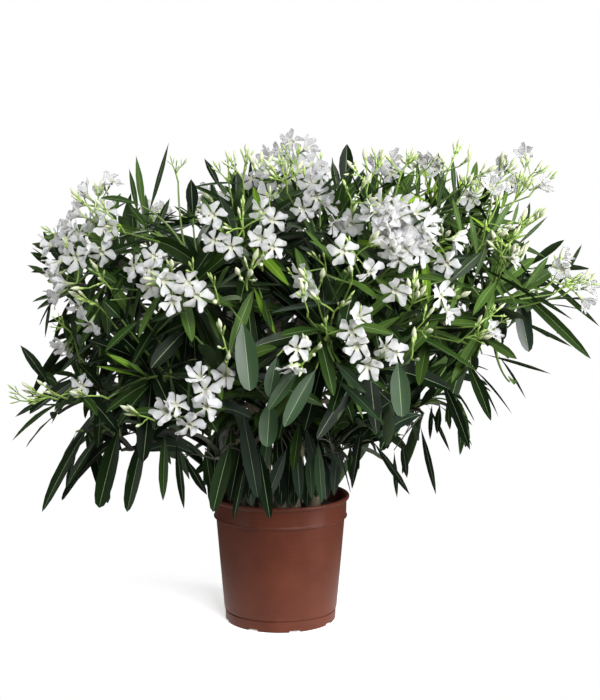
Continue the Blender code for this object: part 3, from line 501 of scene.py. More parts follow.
class Nodes:
    """Adds nodes to a material and links them by name."""

    def __init__(self, name):
        self.material = bpy.data.materials.new(name)
        self.material.use_nodes = True
        self.tree = self.material.node_tree
        self.shader = shader_of(self.material)

    def add(self, kind, **settings):
        node = self.tree.nodes.new(kind)
        for name, value in settings.items():
            if name in node.inputs:
                node.inputs[name].default_value = value
            else:
                setattr(node, name, value)
        return node

    def link(self, source, target):
        self.tree.links.new(source, target)

    def place(self, scale=(1, 1, 1)):
        """The point in the row frame, stretched by scale."""
        coordinates = self.add("ShaderNodeTexCoord")
        mapping = self.add("ShaderNodeMapping", Scale=scale)
        self.link(coordinates.outputs["Object"], mapping.inputs["Vector"])
        return mapping.outputs["Vector"]

    def noise(self, place, scale, detail=4.0, roughness=0.55):
        node = self.add("ShaderNodeTexNoise", Scale=scale, Detail=detail, Roughness=roughness)
        self.link(place, node.inputs["Vector"])
        return node.outputs["Fac"]

    def ramp(self, value, stops):
        """Colours or greys at places from 0 to 1."""
        node = self.add("ShaderNodeValToRGB")
        points = node.color_ramp.elements
        while len(points) < len(stops):
            points.new(0.5)
        for point, (place, colour) in zip(points, stops):
            point.position = place
            shade = colour if isinstance(colour, tuple) else (colour,) * 3
            point.color = (*shade, 1)
        self.link(value, node.inputs["Fac"])
        return node.outputs["Color"]

    def blend(self, share, low, high):
        node = self.add("ShaderNodeMix", data_type="RGBA")
        self.link(share, node.inputs["Factor"])
        self.link(low, node.inputs["A"])
        self.link(high, node.inputs["B"])
        return node.outputs["Result"]

    def bump(self, height, strength, distance, normal=None):
        node = self.add("ShaderNodeBump", Strength=strength, Distance=distance)
        self.link(height, node.inputs["Height"])
        if normal:
            self.link(normal, node.inputs["Normal"])
        return node.outputs["Normal"]


def pot_plastic():
    """Thin moulded plastic: faint mottling, fine level lines from the turned mould and dull patches."""
    nodes = Nodes("terracotta plastic")
    mottle = nodes.noise(nodes.place(), 17, 6)
    lines = nodes.noise(nodes.place((0.12, 0.12, 1)), 520, 3)
    grain = nodes.noise(nodes.place(), 900, 2)
    dark = nodes.ramp(lines, [(0.35, (0.057, 0.0146, 0.0074)), (0.70, (0.065, 0.0170, 0.0087))])
    light = nodes.ramp(lines, [(0.35, (0.073, 0.0190, 0.0098)), (0.70, (0.083, 0.0224, 0.0118))])
    share = nodes.ramp(mottle, [(0.35, 0.0), (0.68, 1.0)])
    nodes.link(nodes.blend(share, dark, light), nodes.shader.inputs["Base Color"])
    gloss = nodes.ramp(mottle, [(0.25, 0.38), (0.75, 0.50)])
    nodes.link(gloss, nodes.shader.inputs["Roughness"])
    nodes.shader.inputs["Specular IOR Level"].default_value = 0.13
    coarse = nodes.bump(lines, 0.12, 0.0004)
    nodes.link(nodes.bump(grain, 0.14, 0.0003, coarse), nodes.shader.inputs["Normal"])
    return nodes.material


def peat():
    nodes = Nodes("peat compost")
    lumps = nodes.noise(nodes.place(), 120, 8, 0.7)
    fibre = nodes.noise(nodes.place((1, 3, 1)), 420, 5)
    stops = [(0.30, (0.006, 0.004, 0.003)), (0.55, (0.022, 0.014, 0.009)), (0.78, (0.062, 0.040, 0.024))]
    nodes.link(nodes.ramp(lumps, stops), nodes.shader.inputs["Base Color"])
    nodes.link(nodes.ramp(fibre, [(0.3, 0.85), (0.7, 1.0)]), nodes.shader.inputs["Roughness"])
    first = nodes.bump(lumps, 0.8, 0.003)
    nodes.link(nodes.bump(fibre, 0.5, 0.001, first), nodes.shader.inputs["Normal"])
    return nodes.material


def bark():
    """Grey-brown young bark, greener where it is smooth, with pale lenticels and fine upright cracks."""
    nodes = Nodes("grey brown bark")
    patches = nodes.noise(nodes.place(), 38, 5)
    cracks = nodes.noise(nodes.place((1, 1, 0.12)), 620, 6, 0.65)
    dots = nodes.add("ShaderNodeTexVoronoi", Scale=210.0, Randomness=1.0)
    nodes.link(nodes.place((1, 1, 0.6)), dots.inputs["Vector"])
    brown = nodes.ramp(cracks, [(0.30, (0.030, 0.019, 0.011)), (0.62, (0.118, 0.085, 0.052))])
    grey = nodes.ramp(cracks, [(0.30, (0.060, 0.052, 0.034)), (0.62, (0.185, 0.160, 0.105))])
    skin = nodes.blend(nodes.ramp(patches, [(0.40, 0.0), (0.62, 1.0)]), brown, grey)
    pale = nodes.ramp(cracks, [(0.0, (0.300, 0.260, 0.180)), (1.0, (0.340, 0.300, 0.215))])
    spots = nodes.ramp(dots.outputs["Distance"], [(0.10, 1.0), (0.19, 0.0)])
    nodes.link(nodes.blend(spots, skin, pale), nodes.shader.inputs["Base Color"])
    nodes.link(nodes.ramp(patches, [(0.3, 0.70), (0.7, 0.88)]), nodes.shader.inputs["Roughness"])
    nodes.link(nodes.bump(cracks, 0.5, 0.0006), nodes.shader.inputs["Normal"])
    return nodes.material


# ---------------------------------------------------------------- meshes from arrays


def link_object(name, data, materials=()):
    for material in materials:
        data.materials.append(material)
    made = bpy.data.objects.new(name, data)
    bpy.context.scene.collection.objects.link(made)
    return made


def object_of(name, shape, materials=()):
    """The bmesh as an object. The bmesh itself is freed."""
    mesh = bpy.data.meshes.new(name)
    shape.to_mesh(mesh)
    shape.free()
    return link_object(name, mesh, materials)


def mesh_from_arrays(name, points, quads, triangles, quad_slots, triangle_slots, materials):
    """One object from an array of points, faces of four and of three corners, and their material slots."""
    mesh = bpy.data.meshes.new(name)
    corners = np.concatenate([quads.ravel(), triangles.ravel()]).astype(np.int32)
    sizes = np.concatenate([np.full(len(quads), 4), np.full(len(triangles), 3)])
    starts = np.concatenate([[0], np.cumsum(sizes)[:-1]]).astype(np.int32)
    mesh.vertices.add(len(points))
    mesh.vertices.foreach_set("co", points.astype(np.float32).ravel())
    mesh.loops.add(len(corners))
    mesh.loops.foreach_set("vertex_index", corners)
    mesh.polygons.add(len(sizes))
    mesh.polygons.foreach_set("loop_start", starts)
    slots = np.concatenate([quad_slots, triangle_slots]).astype(np.int32)
    mesh.polygons.foreach_set("material_index", slots)
    mesh.update(calc_edges=True)
    mesh.shade_smooth()
    mesh.set_sharp_from_angle(angle=math.radians(SHARP_ANGLE))
    return link_object(name, mesh, materials)


def unit(rows):
    return rows / np.maximum(np.linalg.norm(rows, axis=-1, keepdims=True), 1e-9)


def repeat_faces(faces, count, stride):
    """The template's faces for each of count copies whose points follow one another."""
    faces = np.array(faces)
    offsets = (np.arange(count) * stride)[:, None, None]
    return (faces[None] + offsets).reshape(-1, faces.shape[1])


def joined_copies(name, points, faces, slots, materials):
    """Copies of a template as one object: the points of each copy, quads and triangles, and their slots."""
    quads, triangles = (repeat_faces(kind, *points.shape[:2]) for kind in faces)
    return mesh_from_arrays(name, points.reshape(-1, 3), quads, triangles, *slots, materials)


def ring_faces(first, rings, sides):
    """The quads between rings of points that follow one another from first."""
    faces = []
    for low in range(first, first + (rings - 1) * sides, sides):
        for k in range(sides):
            after = (k + 1) % sides
            faces.append((low + k, low + after, low + sides + after, low + sides + k))
    return faces


def end_faces(first, last, sides, foot, head):
    """The triangles that close the first ring to the point foot and the last one to head, in turns."""
    faces = []
    for k in range(sides):
        after = (k + 1) % sides
        faces += [(first + after, first + k, foot), (last + k, last + after, head)]
    return faces


# ---------------------------------------------------------------- leaves

# Along a leaf: share of its length, share of its half width.
LEAF_SHARES = (0.0, 0.06, 0.18, 0.34, 0.52, 0.70, 0.86, 0.955)
LEAF_HALVES = (0.06, 0.11, 0.52, 0.87, 1.0, 0.95, 0.70, 0.36)
LEAF_STATIONS = np.array(list(zip(LEAF_SHARES, LEAF_HALVES)))
# Across it: share of the half width, and of the fold's rise. The last point is the keel under the rib.
LEAF_ACROSS = np.array((-1.0, -0.55, -0.036, 0.036, 0.55, 1.0, 0.0))
LEAF_RISE = np.array((1.0, 0.53, 0.0, 0.0, 0.53, 1.0, 0.0))
KEEL = 6
LEAF_PARTS = (0, 0, 1, 0, 0, 2, 2)  # of the faces after each point across: blade, rib or underside


def leaf_template():
    """The faces of one leaf and the part of each: 0 blade, 1 rib, 2 underside."""
    ring, rows = len(LEAF_ACROSS), len(LEAF_STATIONS)
    last, tip = (rows - 1) * ring, rows * ring
    quads = ring_faces(0, rows, ring) + [(KEEL, 5, 4, 3), (KEEL, 3, 2, 1)]
    triangles = [(last + k, last + (k + 1) % ring, tip) for k in range(ring)] + [(KEEL, 1, 0)]
    return quads, np.array(LEAF_PARTS * (rows - 1) + (2, 2)), triangles, np.array(LEAF_PARTS + (2,))


def leaf_points(rows):
    """The points of every leaf at once, from the rows of numbers that Growth.add_leaf keeps."""
    root, along, across = rows[:, 0:3], rows[:, 3:6], rows[:, 6:9]
    length, width, droop, fold, twist, wave, phase, fullness, sickle = (rows[:, 9 + k] for k in range(9))
    share, half = LEAF_STATIONS[:, 0], LEAF_STATIONS[:, 1]
    down = np.array((0.0, 0.0, -1.0))
    fall = (droop * length)[:, None, None] * down
    shares = np.append(share, 1.0)[None, :, None]
    spine = root[:, None] + (along * length[:, None])[:, None] * shares + fall * shares**2
    way = unit(along[:, None] * length[:, None, None] + 2 * fall * shares)
    spine = spine + (across * (sickle * length)[:, None])[:, None] * shares**2
    side = unit(across[:, None] - way * np.sum(across[:, None] * way, axis=-1, keepdims=True))
    face = np.cross(side, way)
    turn = (twist[:, None] * shares[:, :, 0])[..., None]
    side, face = side * np.cos(turn) + face * np.sin(turn), face * np.cos(turn) - side * np.sin(turn)

    breadth = (width[:, None] * half[None] ** fullness[:, None] / 2)[:, :, None]
    out = breadth * LEAF_ACROSS[None, None]
    ripple = np.sin(phase[:, None, None] + 17 * share[None, :, None] + 2.2 * np.sign(LEAF_ACROSS)[None, None])
    lift = breadth * LEAF_RISE * (fold[:, None, None] + wave[:, None, None] * ripple)
    lift = np.broadcast_to(lift, out.shape).copy()
    lift[:, :, KEEL] -= LEAF_THICKNESS + 0.05 * breadth[:, :, 0]
    lift[:, :, 2:4] -= 0.0001
    middle = spine[:, :-1, None] + side[:, :-1, None] * out[..., None] + face[:, :-1, None] * lift[..., None]
    count = len(rows)
    return np.concatenate([middle.reshape(count, -1, 3), spine[:, -1:]], axis=1)


def make_leaves(name, leaves, materials):
    """Leaves joined into one object. Each has a row of numbers and three slots: blade, rib and under."""
    rows = np.array([row for row, _ in leaves])
    slots = np.array([slot for _, slot in leaves])
    quads, quad_parts, triangles, triangle_parts = leaf_template()
    given = slots[:, quad_parts].ravel(), slots[:, triangle_parts].ravel()
    return joined_copies(name, leaf_points(rows), (quads, triangles), given, materials)


# ---------------------------------------------------------------- tubes: twigs and stalks


def tube_points(lines, radii, sides):
    """Rings of points round many lines at once, with a point at each end."""
    before = np.concatenate([lines[:, :1], lines[:, :-1]], axis=1)
    after = np.concatenate([lines[:, 1:], lines[:, -1:]], axis=1)
    way = unit(after - before)
    guide = np.where(np.abs(way[:, 0, 2:3]) < 0.8, [[0.0, 0.0, 1.0]], [[1.0, 0.0, 0.0]])
    side = unit(np.cross(way[:, 0], guide))
    rings = []
    angles = 2 * np.pi * np.arange(sides) / sides
    for k in range(lines.shape[1]):
        side = unit(side - way[:, k] * np.sum(side * way[:, k], axis=-1, keepdims=True))
        other = np.cross(way[:, k], side)
        round_it = side[:, None] * np.cos(angles)[None, :, None]
        round_it = round_it + other[:, None] * np.sin(angles)[None, :, None]
        rings.append(lines[:, k, None] + round_it * radii[:, k, None, None])
    body = np.concatenate(rings, axis=1)
    return np.concatenate([body, lines[:, :1], lines[:, -1:]], axis=1)


def tube_template(steps, sides):
    ends = steps * sides
    return ring_faces(0, steps, sides), end_faces(0, ends - sides, sides, ends, ends + 1)


def make_tubes(name, tubes, sides, materials):
    """Tapering tubes joined into one object. Each is (line, root radius, tip radius, slot)."""
    lines = np.array([[tuple(point) for point in line] for line, _, _, _ in tubes])
    ends = np.array([(root, tip) for _, root, tip, _ in tubes])
    slots = np.array([slot for _, _, _, slot in tubes])
    radii = ends[:, :1] + (ends[:, 1:] - ends[:, :1]) * np.linspace(0, 1, lines.shape[1])
    faces = tube_template(lines.shape[1], sides)
    given = [np.repeat(slots, len(kind)) for kind in faces]
    return joined_copies(name, tube_points(lines, radii, sides), faces, given, materials)


# ---------------------------------------------------------------- flowers and buds

PETALS = 5
# Along a petal: share of its reach, half width as a share of the flower's radius.
PETAL_SHARES = (0.0, 0.20, 0.42, 0.62, 0.80, 0.92, 1.0)
PETAL_STATIONS = tuple(zip(PETAL_SHARES, (0.10, 0.15, 0.26, 0.36, 0.385, 0.31, 0.14)))
PETAL_THICKNESS = 0.026  # as a share of the flower's radius
PETAL_ACROSS = (-1.0, -0.5, 0.0, 0.5, 1.0)
TUBE_RINGS = ((-1.0, 0.055), (-0.62, 0.075), (-0.32, 0.115), (-0.10, 0.175), (0.0, 0.215))
TUBE_SIDES = 10
# How far the petals rise from flat in radians, their curl and sway: flat, cupped, half open, turned back.
FLOWER_KINDS = ((0.25, 0.10, 0.14), (0.45, 0.22, 0.12), (0.88, 0.10, 0.10), (0.10, 0.30, 0.16))
FLOWER_WEIGHTS = (4, 4, 3, 2)
HALF_OPEN = 2
HALF_OPEN_BEYOND = 50  # degrees: flowers of the photo that face further to the side are half open
FLOWER_SLOTS = {"petal": 0, "throat": 1, "tube": 2, "sepal": 3}


class Shape:
    """Points and faces of a template, with a material slot for each face."""

    def __init__(self):
        self.points, self.quads, self.triangles = [], [], []
        self.quad_slots, self.triangle_slots = [], []

    def add_points(self, points):
        first = len(self.points)
        self.points += points
        return first

    def face(self, corners, slot):
        if len(corners) == 4:
            self.quads.append(corners)
            self.quad_slots.append(slot)
        else:
            self.triangles.append(corners)
            self.triangle_slots.append(slot)


def add_petal(shape, turn, opening, curl, sway, phase, size):
    """A thin closed petal, blunt and a little lopsided, that leaves the throat at opening from flat."""
    spin = Matrix.Rotation(turn, 3, "Z")
    thickness = Vector((0, -math.sin(opening), math.cos(opening))) * PETAL_THICKNESS
    upper, lower = [], []
    for share, half in PETAL_STATIONS:
        height = math.sin(opening) * share - curl * share**2.2
        reach = 0.16 + 0.84 * share * math.cos(0.8 * opening)
        lean = sway * share**1.5
        for across in PETAL_ACROSS:
            sideways = half * across + lean
            slant = 0.10 * across * share**3
            ruffle = 0.10 * share * math.sin(6 * share + 3.0 * across + phase)
            bow = 0.07 * (across * half / 0.35) ** 2 + 0.30 * half * across + ruffle
            point = Vector((sideways, reach * size + slant, height + bow))
            upper.append(spin @ point)
            if abs(across) < 1:
                lower.append(spin @ (point - thickness))
    across_count = len(PETAL_ACROSS)
    first = shape.add_points(upper)
    below = shape.add_points(lower)
    rows = len(PETAL_STATIONS)

    def top(row, k):
        return first + row * across_count + k

    def under(row, k):
        return top(row, k) if k in (0, across_count - 1) else below + row * (across_count - 2) + k - 1

    for row in range(rows - 1):
        slot = FLOWER_SLOTS["throat"] if row == 0 else FLOWER_SLOTS["petal"]
        for k in range(across_count - 1):
            shape.face((top(row, k), top(row, k + 1), top(row + 1, k + 1), top(row + 1, k)), slot)
            shape.face((under(row, k), under(row + 1, k), under(row + 1, k + 1), under(row, k + 1)), slot)
    for row, flip in ((0, True), (rows - 1, False)):
        for k in range(across_count - 1):
            corners = (top(row, k), top(row, k + 1), under(row, k + 1), under(row, k))
            corners = tuple(dict.fromkeys(corners))
            shape.face(corners[::-1] if flip else corners, FLOWER_SLOTS["petal"])


def turned(shape, rings, sides, slots, twist=0.0):
    """A closed body turned about Z from rings of (height, radius), with a slot for each band."""
    points = []
    for number, (height, radius) in enumerate(rings):
        for k in range(sides):
            angle = 2 * math.pi * k / sides + twist * number
            points.append(Vector((radius * math.cos(angle), radius * math.sin(angle), height)))
    first = shape.add_points(points)
    foot = shape.add_points([Vector((0, 0, rings[0][0])), Vector((0, 0, rings[-1][0]))])
    for number, corners in enumerate(ring_faces(first, len(rings), sides)):
        shape.face(corners, slots[number // sides])
    for number, corners in enumerate(end_faces(first, foot - sides, sides, foot, foot + 1)):
        shape.face(corners, slots[-(number % 2)])


def add_funnel(shape):
    """The tube of the flower, closed by a sunk throat, with five small sepals round its foot."""
    length = TUBE_LENGTH / FLOWER_RADIUS
    rings = [(height * length, radius) for height, radius in TUBE_RINGS]
    rings += [(-0.02, 0.190), (-0.16, 0.120)]
    slots = [FLOWER_SLOTS["tube"]] * 3 + [FLOWER_SLOTS["petal"]] + [FLOWER_SLOTS["throat"]] * 2
    turned(shape, rings, TUBE_SIDES, slots)
    for k in range(PETALS):
        spin = Matrix.Rotation(2 * math.pi * (k + 0.5) / PETALS, 3, "Z")
        low, high = -length - 0.01, -length + 0.26
        sepal = [(-0.050, 0.045, low), (0.050, 0.045, low), (0, 0.135, high), (0, 0.085, low + 0.10)]
        first = shape.add_points([spin @ Vector(point) for point in sepal])
        for corners in ((0, 1, 2), (1, 0, 3), (0, 2, 3), (2, 1, 3)):
            shape.face(tuple(first + c for c in reversed(corners)), FLOWER_SLOTS["sepal"])


def add_fringe(shape):
    """The small toothed crown in the throat: two teeth at the foot of each petal."""
    for k in range(2 * PETALS):
        spin = Matrix.Rotation(math.pi * (k + 0.5) / PETALS, 3, "Z")
        tooth = [(-0.035, 0.185, -0.03), (0.035, 0.185, -0.03), (0, 0.155, -0.02), (0.01, 0.21, 0.105)]
        first = shape.add_points([spin @ Vector(point) for point in tooth])
        for corners in ((0, 1, 3), (1, 2, 3), (2, 0, 3), (0, 2, 1)):
            shape.face(tuple(first + c for c in corners), FLOWER_SLOTS["throat"])


def flower_template(opening, curl, sway, chance):
    """One flower of radius 1 that faces +Z, with its mouth at the origin."""
    shape = Shape()
    for k in range(PETALS):
        turn = 2 * math.pi * k / PETALS + chance.uniform(-0.06, 0.06)
        open_by = opening + chance.uniform(-0.26, 0.26)
        bent = curl + chance.uniform(-0.12, 0.12)
        add_petal(shape, turn, open_by, bent, sway, chance.uniform(0, ANY_TURN), chance.uniform(0.90, 1.08))
    add_funnel(shape)
    add_fringe(shape)
    return shape


def bud_shapes():
    """Buds of length 1 along +Z, slender and plump: a green foot, a narrow tube and a twisted tip."""
    shapes = []
    for plump in (1.0, 1.36):
        shape = Shape()
        rings = [(0.0, 0.040), (0.03, 0.064), (0.13, 0.062), (0.16, 0.052), (0.34, 0.058)]
        rings += [(0.50, 0.082 * plump), (0.64, 0.096 * plump), (0.79, 0.074 * plump)]
        rings += [(0.91, 0.038 * plump), (1.0, 0.006)]
        turned(shape, rings, 7, [2, 2, 2, 1, 1, 0, 0, 0, 0], twist=0.16)
        shapes.append(shape)
    return shapes


def make_copies(name, shapes, copies, materials):
    """Copies of shapes with the same faces, as one object. A copy is (place, axes, size, kind, slots)."""
    stock = np.array([[tuple(point) for point in shape.points] for shape in shapes])
    places, axes, sizes, kinds, slots = zip(*copies)
    places = np.array([tuple(place) for place in places])
    axes = np.array([[tuple(axis) for axis in three] for three in axes])
    local = stock[list(kinds)] * np.array(sizes)[:, None, None]
    points = np.einsum("nvk,nkj->nvj", local, axes) + places[:, None]
    shape, slots = shapes[0], np.array(slots)
    given = [slots[:, parts].ravel() for parts in (shape.quad_slots, shape.triangle_slots)]
    return joined_copies(name, points, (shape.quads, shape.triangles), given, materials)


# ---------------------------------------------------------------- limbs, by the source's rule


def bend(start, knee, end, steps):
    line = []
    for k in range(steps + 1):
        t = k / steps
        line.append(start * (1 - t) ** 2 + knee * (2 * t * (1 - t)) + end * t * t)
    return line


class Limb:
    """A stem, bough, twig or shoot: its centre line and its radius at each end."""

    def __init__(self, line, root_radius, tip_radius):
        self.line = line
        self.root_radius = root_radius
        self.tip_radius = tip_radius
        self.furthest_fork = 0.0

    def at(self, share):
        place = clamp(share) * (len(self.line) - 1)
        k = min(int(place), len(self.line) - 2)
        step = self.line[k + 1] - self.line[k]
        return self.line[k] + step * (place - k), step.normalized()

    def part(self, share):
        """The line from its foot to a share of its length, in as many steps."""
        steps = len(self.line) - 1
        return [self.at(share * k / steps)[0] for k in range(steps + 1)]

    def end(self):
        return self.line[-1], (self.line[-1] - self.line[-2]).normalized()

    def length(self):
        return sum((b - a).length for a, b in zip(self.line, self.line[1:]))


class Mass:
    """Where one mass of foliage grows: its name, its limb and the middle of its tips."""

    def __init__(self, name, limb, tips):
        self.name = name
        self.limb = limb
        self.tips = tips
        self.site = limb.end()[0].lerp(tips, 0.55)
        self.level = name.split("_")[-1]

    def stem(self):
        root, along = self.limb.end()
        neck = root + along * MASS_NECK
        reach = self.tips - root
        fork = neck + along * (0.08 * reach.length) + reach * 0.12
        return bend(root - along * 0.004, neck, fork, SHOOT_STEPS)


def grow_limbs():
    """The stems and boughs, and the masses that they carry."""
    stems, boughs, masses = {}, {}, []
    foot_height = COMPOST_TOP + GAP
    for sector, (azimuth, high, middle, low) in SECTORS.items():
        foot = polar(azimuth, STEM_FOOT_CIRCLE, foot_height)
        tip = polar(azimuth, 0.55 * high[0] + 0.01, STEM_TIP_HEIGHT)
        line = bend(foot, polar(azimuth, *STEM_KNEE), tip, LIMB_STEPS)
        stem = Limb(line, STEM_ROOT_RADIUS, STEM_TIP_RADIUS)
        stems[f"stem_{sector}"] = stem
        masses.append(Mass(f"foliage_{sector}_high", stem, polar(azimuth, *high)))
        ends = {
            "middle": polar(azimuth, 0.70 * middle[0], middle[1] - 0.035),
            "low": polar(azimuth, 0.62 * low[0], low[1] + 0.005),
        }
        for level, tips in (("middle", middle), ("low", low)):
            bough = grow_bough(stem, BOUGH_FORKS[level], ends[level], 0.02)
            boughs[f"bough_{sector}_{level}"] = bough
            masses.append(Mass(f"foliage_{sector}_{level}", bough, polar(azimuth, *tips)))
    azimuth, distance, height = TOP_FRONT
    tip = polar(azimuth, 0.35 * distance, 0.560)
    line = bend(polar(0, 0.004, foot_height), polar(180, 0.02, 0.40), tip, LIMB_STEPS)
    stem = Limb(line, STEM_ROOT_RADIUS, STEM_TIP_RADIUS)
    stems["stem_middle"] = stem
    masses.append(Mass("foliage_top_front", stem, polar(azimuth, distance, height)))
    for name, (azimuth, distance, height, fork, end) in CENTRE_BOUGHS.items():
        bough = grow_bough(stem, fork, polar(azimuth, *end), 0.01)
        boughs[f"bough_{name}"] = bough
        masses.append(Mass(f"foliage_{name}", bough, polar(azimuth, distance, height)))
    return stems, boughs, masses


def grow_bough(stem, fork, end, rise):
    start, along = stem.at(fork)
    knee = start + along * rise + (end - start) * 0.35
    return Limb(bend(start, knee, end, LIMB_STEPS), BOUGH_ROOT_RADIUS, BOUGH_TIP_RADIUS)


def crown_reach(point):
    """How far the crown reaches from the axis at the point's height and on its side."""
    if not CROWN[0][0] <= point.z <= CROWN[-1][0]:
        return 0.0
    left = right = 0.0
    for (low, left_low, right_low), (high, left_high, right_high) in zip(CROWN, CROWN[1:]):
        if low <= point.z <= high:
            share = (point.z - low) / (high - low)
            left = between(left_low, left_high, share)
            right = between(right_low, right_high, share)
    sideways = point.x / max(0.001, math.hypot(point.x, point.y))
    depth = CROWN_DEPTH * (left + right) / 2
    side = right if sideways > 0 else left
    return depth + (side - depth) * sideways * sideways


def ragged_reach(point):
    """The crown's reach for leaves, drawn in here and there so that the outline is uneven."""
    lowest = LEAF_BOTTOM + LEAF_BOTTOM_RISE * abs(point.y) + 0.03 * noise.noise(point * 11)
    highest = skyline(point.x) + 0.02 * noise.noise(point * 14)
    if not lowest < point.z < highest:
        return 0.0
    low_right = clamp((0.46 - point.z) / 0.10) * clamp(point.x / 0.2)
    return crown_reach(point) * (0.945 + 0.10 * noise.noise(point * 8.5) - 0.10 * low_right)


def skyline(x):
    """The height of the crown's top at x."""
    for (left, left_height), (right, right_height) in zip(SKYLINE, SKYLINE[1:]):
        if left <= x <= right:
            return between(left_height, right_height, (x - left) / (right - left))
    return SKYLINE[0][1]


def on_crown(pixel_x, pixel_y, behind):
    """Where the sight line of a pixel meets the crown's outline, and then goes behind it by so much."""
    for step in range(SIGHT_STEPS):
        depth = SIGHT_START + SIGHT_STEP * step
        point = seen_at(pixel_x, pixel_y, depth)
        if math.hypot(point.x, point.y) <= crown_reach(point):
            return seen_at(pixel_x, pixel_y, depth + behind)
    return seen_at(pixel_x, pixel_y, behind - 0.10)


# ---------------------------------------------------------------- the fine growth


def outward_of(point):
    flat = Vector((point.x, point.y, 0))
    return flat.normalized() if flat.length > 0.02 else Vector((0, -1, 0))


def leaf_slots(tone):
    """The material slots of a leaf: its blade, its rib and its underside."""
    young = 1 if tone in ("fresh", "young") else 0
    return TONES.index(tone), len(TONES) + young, len(TONES) + 2 + young


def leaf_fullness(width):
    """Narrow leaves taper to both ends and broad ones are blunt."""
    return between(1.7, 0.62, clamp((width - 0.012) / 0.017))


def beside(axis, turn):
    """A direction square to the axis, turned about it."""
    return Matrix.Rotation(turn, 3, axis) @ axis.orthogonal().normalized()


def fan_out(axis, lean, turn):
    """The axis leant over, to the side that turn gives."""
    return axis * math.cos(lean) + beside(axis, turn) * math.sin(lean)


